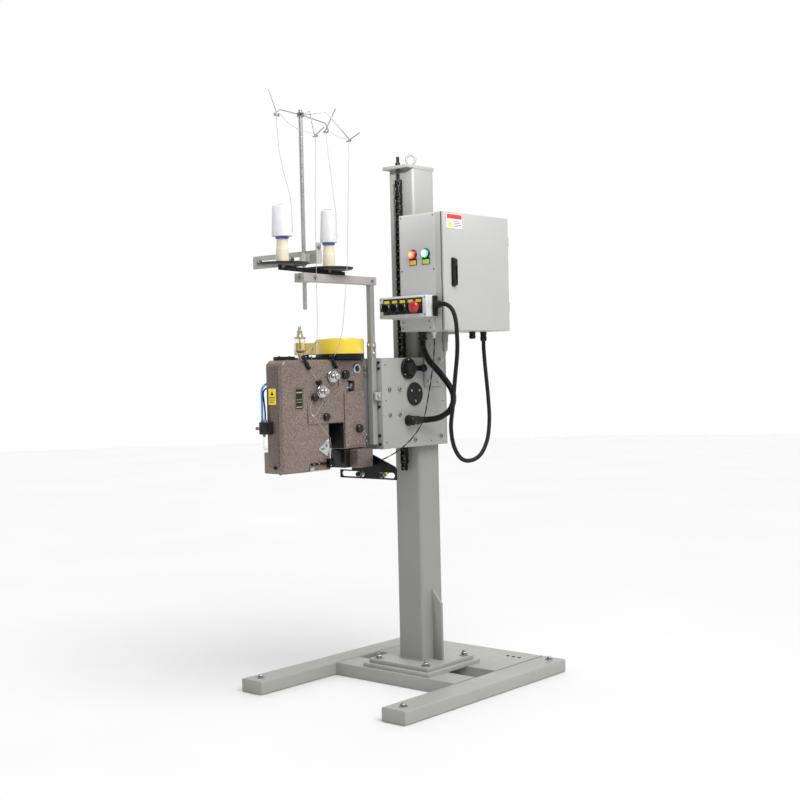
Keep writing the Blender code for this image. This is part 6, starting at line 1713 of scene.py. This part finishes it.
def make_underside():
    """Glands and plugs under the cabinet."""
    dark = []
    for x, y, radius, drop in ((0.165, 0.136, 0.0105, 0.029), (0.165, 0.08, 0.0105, 0.022)):
        dark.append(turned([(CAB_LOW, radius), (CAB_LOW - 0.002, radius), (CAB_LOW - 0.0022, radius * 0.9),
                            (CAB_LOW - drop * 0.55, radius * 0.9), (CAB_LOW - drop * 0.58, radius),
                            (CAB_LOW - drop * 0.8, radius * 0.98), (CAB_LOW - drop, radius * 0.82)], Z,
                           (x, y, 0), 28))
        dark.append(soften(round_bar(CAB_LOW - 0.0002, CAB_LOW - 0.006, radius * 1.06, Z, (x, y, 0), 6),
                           0.0006, 1))
    dark.append(turned([(CAB_LOW, 0.014), (CAB_LOW - 0.006, 0.014), (CAB_LOW - 0.0064, 0.0126),
                        (CAB_LOW - 0.016, 0.0126), (CAB_LOW - 0.0164, 0.0134), (CAB_LOW - 0.025, 0.0126)],
                       Z, (0.11, -0.093, 0), 36))
    dark += rib_ring(16, Z, (0.11, -0.093, CAB_LOW), 0.0132, -0.0205, (0.0014, 0.0018, 0.007), 0.0004)
    piece("cable_glands", "black_plastic", dark)
    plug = [turned([(CAB_LOW, 0.0086), (CAB_LOW - 0.012, 0.0086), (CAB_LOW - 0.0124, 0.0095),
                    (CAB_LOW - 0.033, 0.0095), (CAB_LOW - 0.0334, 0.0082), (CAB_LOW - 0.052, 0.0082),
                    (CAB_LOW - 0.06, 0.006)], Z, (0.165, -0.055, 0), 36)]
    plug += rib_ring(20, Z, (0.165, -0.055, CAB_LOW), 0.0094, -0.0228, (0.001, 0.0014, 0.017))
    piece("metal_connector", "bolt_steel", plug)
    white = [turned([(CAB_LOW, 0.005), (CAB_LOW - 0.011, 0.005), (CAB_LOW - 0.0114, 0.0043),
                     (CAB_LOW - 0.02, 0.004)], Z, (0.138, -0.072, 0), 24),
             block((0.1315, -0.0785, CAB_LOW - 0.006), (0.1445, -0.0655, CAB_LOW - 0.0001), 0.001)]
    piece("sensor_plug", "white_plastic", white)


# ---------------------------------------------------------------- control box

def make_control_box():
    """The control box, its bracket, gland, switches and stop button."""
    (x0, x1), (y0, y1), (z0, z1) = (0.027, 0.211), (-0.193, -0.1503), (1.1145, 1.1785)
    split = y0 + 0.0145
    body = block((x0, split + 0.0006, z0), (x1, y1, z1), 0.0032, 3)
    lid = block((x0, y0, z0), (x1, split, z1), 0.0036, 3)
    joint = block((x0 + 0.0016, split - 0.001, z0 + 0.0016), (x1 - 0.0016, split + 0.002, z1 - 0.0016))
    piece("control_case", "box_plastic", [body, lid, joint], ("control_box",))
    bar = block((x1 - 0.001, y1 - 0.0165, z0 + 0.002), (x1 + 0.0085, y1 - 0.001, z1 - 0.002), 0.0018, 3)
    gland = round_bar(0.0, 0.006, 0.0118, X, (x1 + 0.0085, -0.165, 1.15), 6)
    soften(gland, 0.0006, 1)
    nut = turned([(0.006, 0.01), (0.0066, 0.0105), (0.018, 0.0105), (0.0215, 0.0086)], X,
                 (x1 + 0.0085, -0.165, 1.15), 36)
    ridges = rib_ring(14, X, (x1 + 0.0085, -0.165, 1.15), 0.0104, 0.012, (0.009, 0.0012, 0.0016))
    collar = turned([(0.0, 0.0145), (-0.0078, 0.0145), (-0.0098, 0.013), (-0.0098, 0.01)], Y,
                    (0.181, y0, 1.144), 40)
    piece("control_gland", "black_plastic", [bar, gland, nut, collar] + ridges)
    piece("control_case_screws", "bolt_steel", [domed_screw((x, y0, z), Y, -1, 0.0028, 0.001)
                                                for x in (x0 + 0.0075, x1 - 0.0075)
                                                for z in (z0 + 0.007, z1 - 0.007)])
    # bracket that carries the box
    back = CAB_LEFT - 0.0003
    parts = [block((CAB_BACK + 0.001, back - 0.003, CAB_LOW + 0.001), (0.203, back, z0 - 0.0003), 0.0006,
                   1), block((CAB_BACK + 0.001, y0 + 0.004, z0 - 0.0033),
                             (0.203, back - 0.001, z0 - 0.0003), 0.0006, 1),
             block((CAB_BACK + 0.001, back - 0.0065, z0 - 0.02), (0.203, back - 0.001, z0 - 0.0013),
                   0.0006, 1)]
    piece("control_support", "panel_paint", parts, ("control_bracket",))
    plates, legends = [], []
    for k in range(5):
        x = 0.059 + k * 0.0305
        outline = rounded(rectangle((x - 0.0148, 1.125), (x + 0.0148, 1.172)), 0.002, 4)
        plates.append(prism(outline, Y, y0 - 0.0012, y0 + 0.0002, 0.0004, 1))
        legends.append(block((x - 0.01, y0 - 0.0016, 1.1585), (x + 0.01, y0 - 0.001, 1.1665), 0.0002, 1))
    piece("switch_plates", "gloss_black", plates)
    piece("switch_legends", "label_yellow", legends)
    for k in range(4):
        name = "selector_switch_%d" % (k + 1)
        x, y, z = 0.059 + k * 0.0305, y0 - 0.0003, 1.144
        bezel = turned([(0.0, 0.014), (-0.0034, 0.014), (-0.004, 0.0134), (-0.0058, 0.012),
                        (-0.007, 0.0118), (-0.01, 0.0114), (-0.01, 0.0001)], Y, (x, y, z), 40)
        lever = prism([(x - 0.0045, z - 0.01), (x + 0.0045, z - 0.01), (x + 0.0045, z + 0.011),
                       (x + 0.002, z + 0.014), (x - 0.002, z + 0.014), (x - 0.0045, z + 0.011)], Y,
                      y0 - 0.027, y0 - 0.008, 0.0016, 3)
        piece(name + "_lever", "gloss_black", [bezel, lever], (name,), body=name)
        mark = block((x - 0.0006, y0 - 0.0273, z + 0.001), (x + 0.0006, y0 - 0.0266, z + 0.0105), 0.0001,
                     1)
        piece(name + "_mark", "label_white", [mark], body=name)
    x, y, z = 0.181, y0 - 0.0065, 1.144
    cap = turned([(-0.0012, 0.009), (-0.011, 0.009), (-0.0115, 0.014), (-0.0125, 0.0162), (-0.0142, 0.017),
                  (-0.017, 0.017), (-0.02, 0.0164), (-0.023, 0.0144), (-0.025, 0.0108), (-0.0259, 0.0056),
                  (-0.0261, 0.0001)], Y, (x, y, z), 56)
    piece("stop_cap", "red_plastic", [cap], ("emergency_stop",), body="emergency_stop")


# ---------------------------------------------------------------- floor, light and close

def make_floor():
    """A pale floor."""
    mat, shader = start_material("floor", 0.0, 0.2)
    cloud = remap(mat, noise(mat, 1.2, 4.0), 0.3, 0.7, 0.0, 1.0)
    link(mat, blend_colours(mat, cloud, (0.7, 0.7, 0.7), (0.72, 0.72, 0.72)), shader.inputs["Base Color"])
    shader.inputs["Roughness"].default_value = 0.7
    floor = prism(circle((0.0, 0.0), 14.0, 96), Z, -0.02, -0.0005)
    mesh = bpy.data.meshes.new("floor")
    floor.to_mesh(mesh)
    floor.free()
    mesh.materials.append(mat)
    obj = bpy.data.objects.new("floor", mesh)
    bpy.context.scene.collection.objects.link(obj)


def light(name, kind, energy, place, aim, **values):
    """A light at a place, aimed at a point. The other values are its own settings."""
    data = bpy.data.lights.new(name, kind)
    data.energy = energy
    for setting, value in values.items():
        setattr(data, setting, value)
    lamp = bpy.data.objects.new(name, data)
    lamp.location = place
    lamp.rotation_euler = (Vector(aim) - lamp.location).to_track_quat("-Z", "Y").to_euler()
    bpy.context.scene.collection.objects.link(lamp)


def make_lights():
    """A white studio, dimmer in front of the machine, with a broad soft light from the upper right, a
    weak one on the upper half and a narrow one on the column's top."""
    world = bpy.data.worlds.new("studio")
    bpy.context.scene.world = world
    world.use_nodes = True
    back = world.node_tree.nodes["Background"]
    source = node_of(world, "ShaderNodeTexCoord")
    facing = node_of(world, "ShaderNodeVectorMath", operation="DOT_PRODUCT")
    link(world, source.outputs["Generated"], facing.inputs[0])
    facing.inputs[1].default_value = (-0.655, 0.756, 0.0)
    glow = remap(world, facing.outputs["Value"], -0.35, 0.45, 0.42, 1.0)
    link(world, glow, back.inputs["Strength"])
    back.inputs["Color"].default_value = (1.0, 1.0, 1.0, 1.0)
    light("key", "SUN", 2.6, (0.0, 0.0, 0.0), (-0.6, 0.14, -0.78), angle=radians(48))
    light("upper", "AREA", 10.0, (1.35, -0.9, 2.45), (0.05, -0.05, 1.4), shape="DISK", size=1.2)
    light("column_top", "SPOT", 260.0, (1.3, -1.25, 2.1), (0.0, 0.0, 1.64), spot_size=radians(21),
          spot_blend=1.0, shadow_soft_size=0.12)
    bpy.context.scene.view_settings.view_transform = "Standard"


def finish_sprocket():
    """The lift sprocket shows as its CAD node, with a finish of its own."""
    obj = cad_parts["lift_sprocket"]
    for held in obj.material_slots:
        held.material = LOOK["steel"]
    weld_points = obj.modifiers.new("weld", "WELD")
    weld_points.merge_threshold = 0.00001
    bevelled = obj.modifiers.new("edges", "BEVEL")
    bevelled.width = 0.0005
    bevelled.segments = 2
    bevelled.harden_normals = False


make_camera()
make_cords()
make_base()
make_column()
make_chain()
make_carriage()
make_lift()
make_cabinet_bracket()
make_head_parts()
make_drive()
make_sensors()
make_stand()
make_cabinet()
make_control_box()
finish_sprocket()
make_floor()
make_lights()
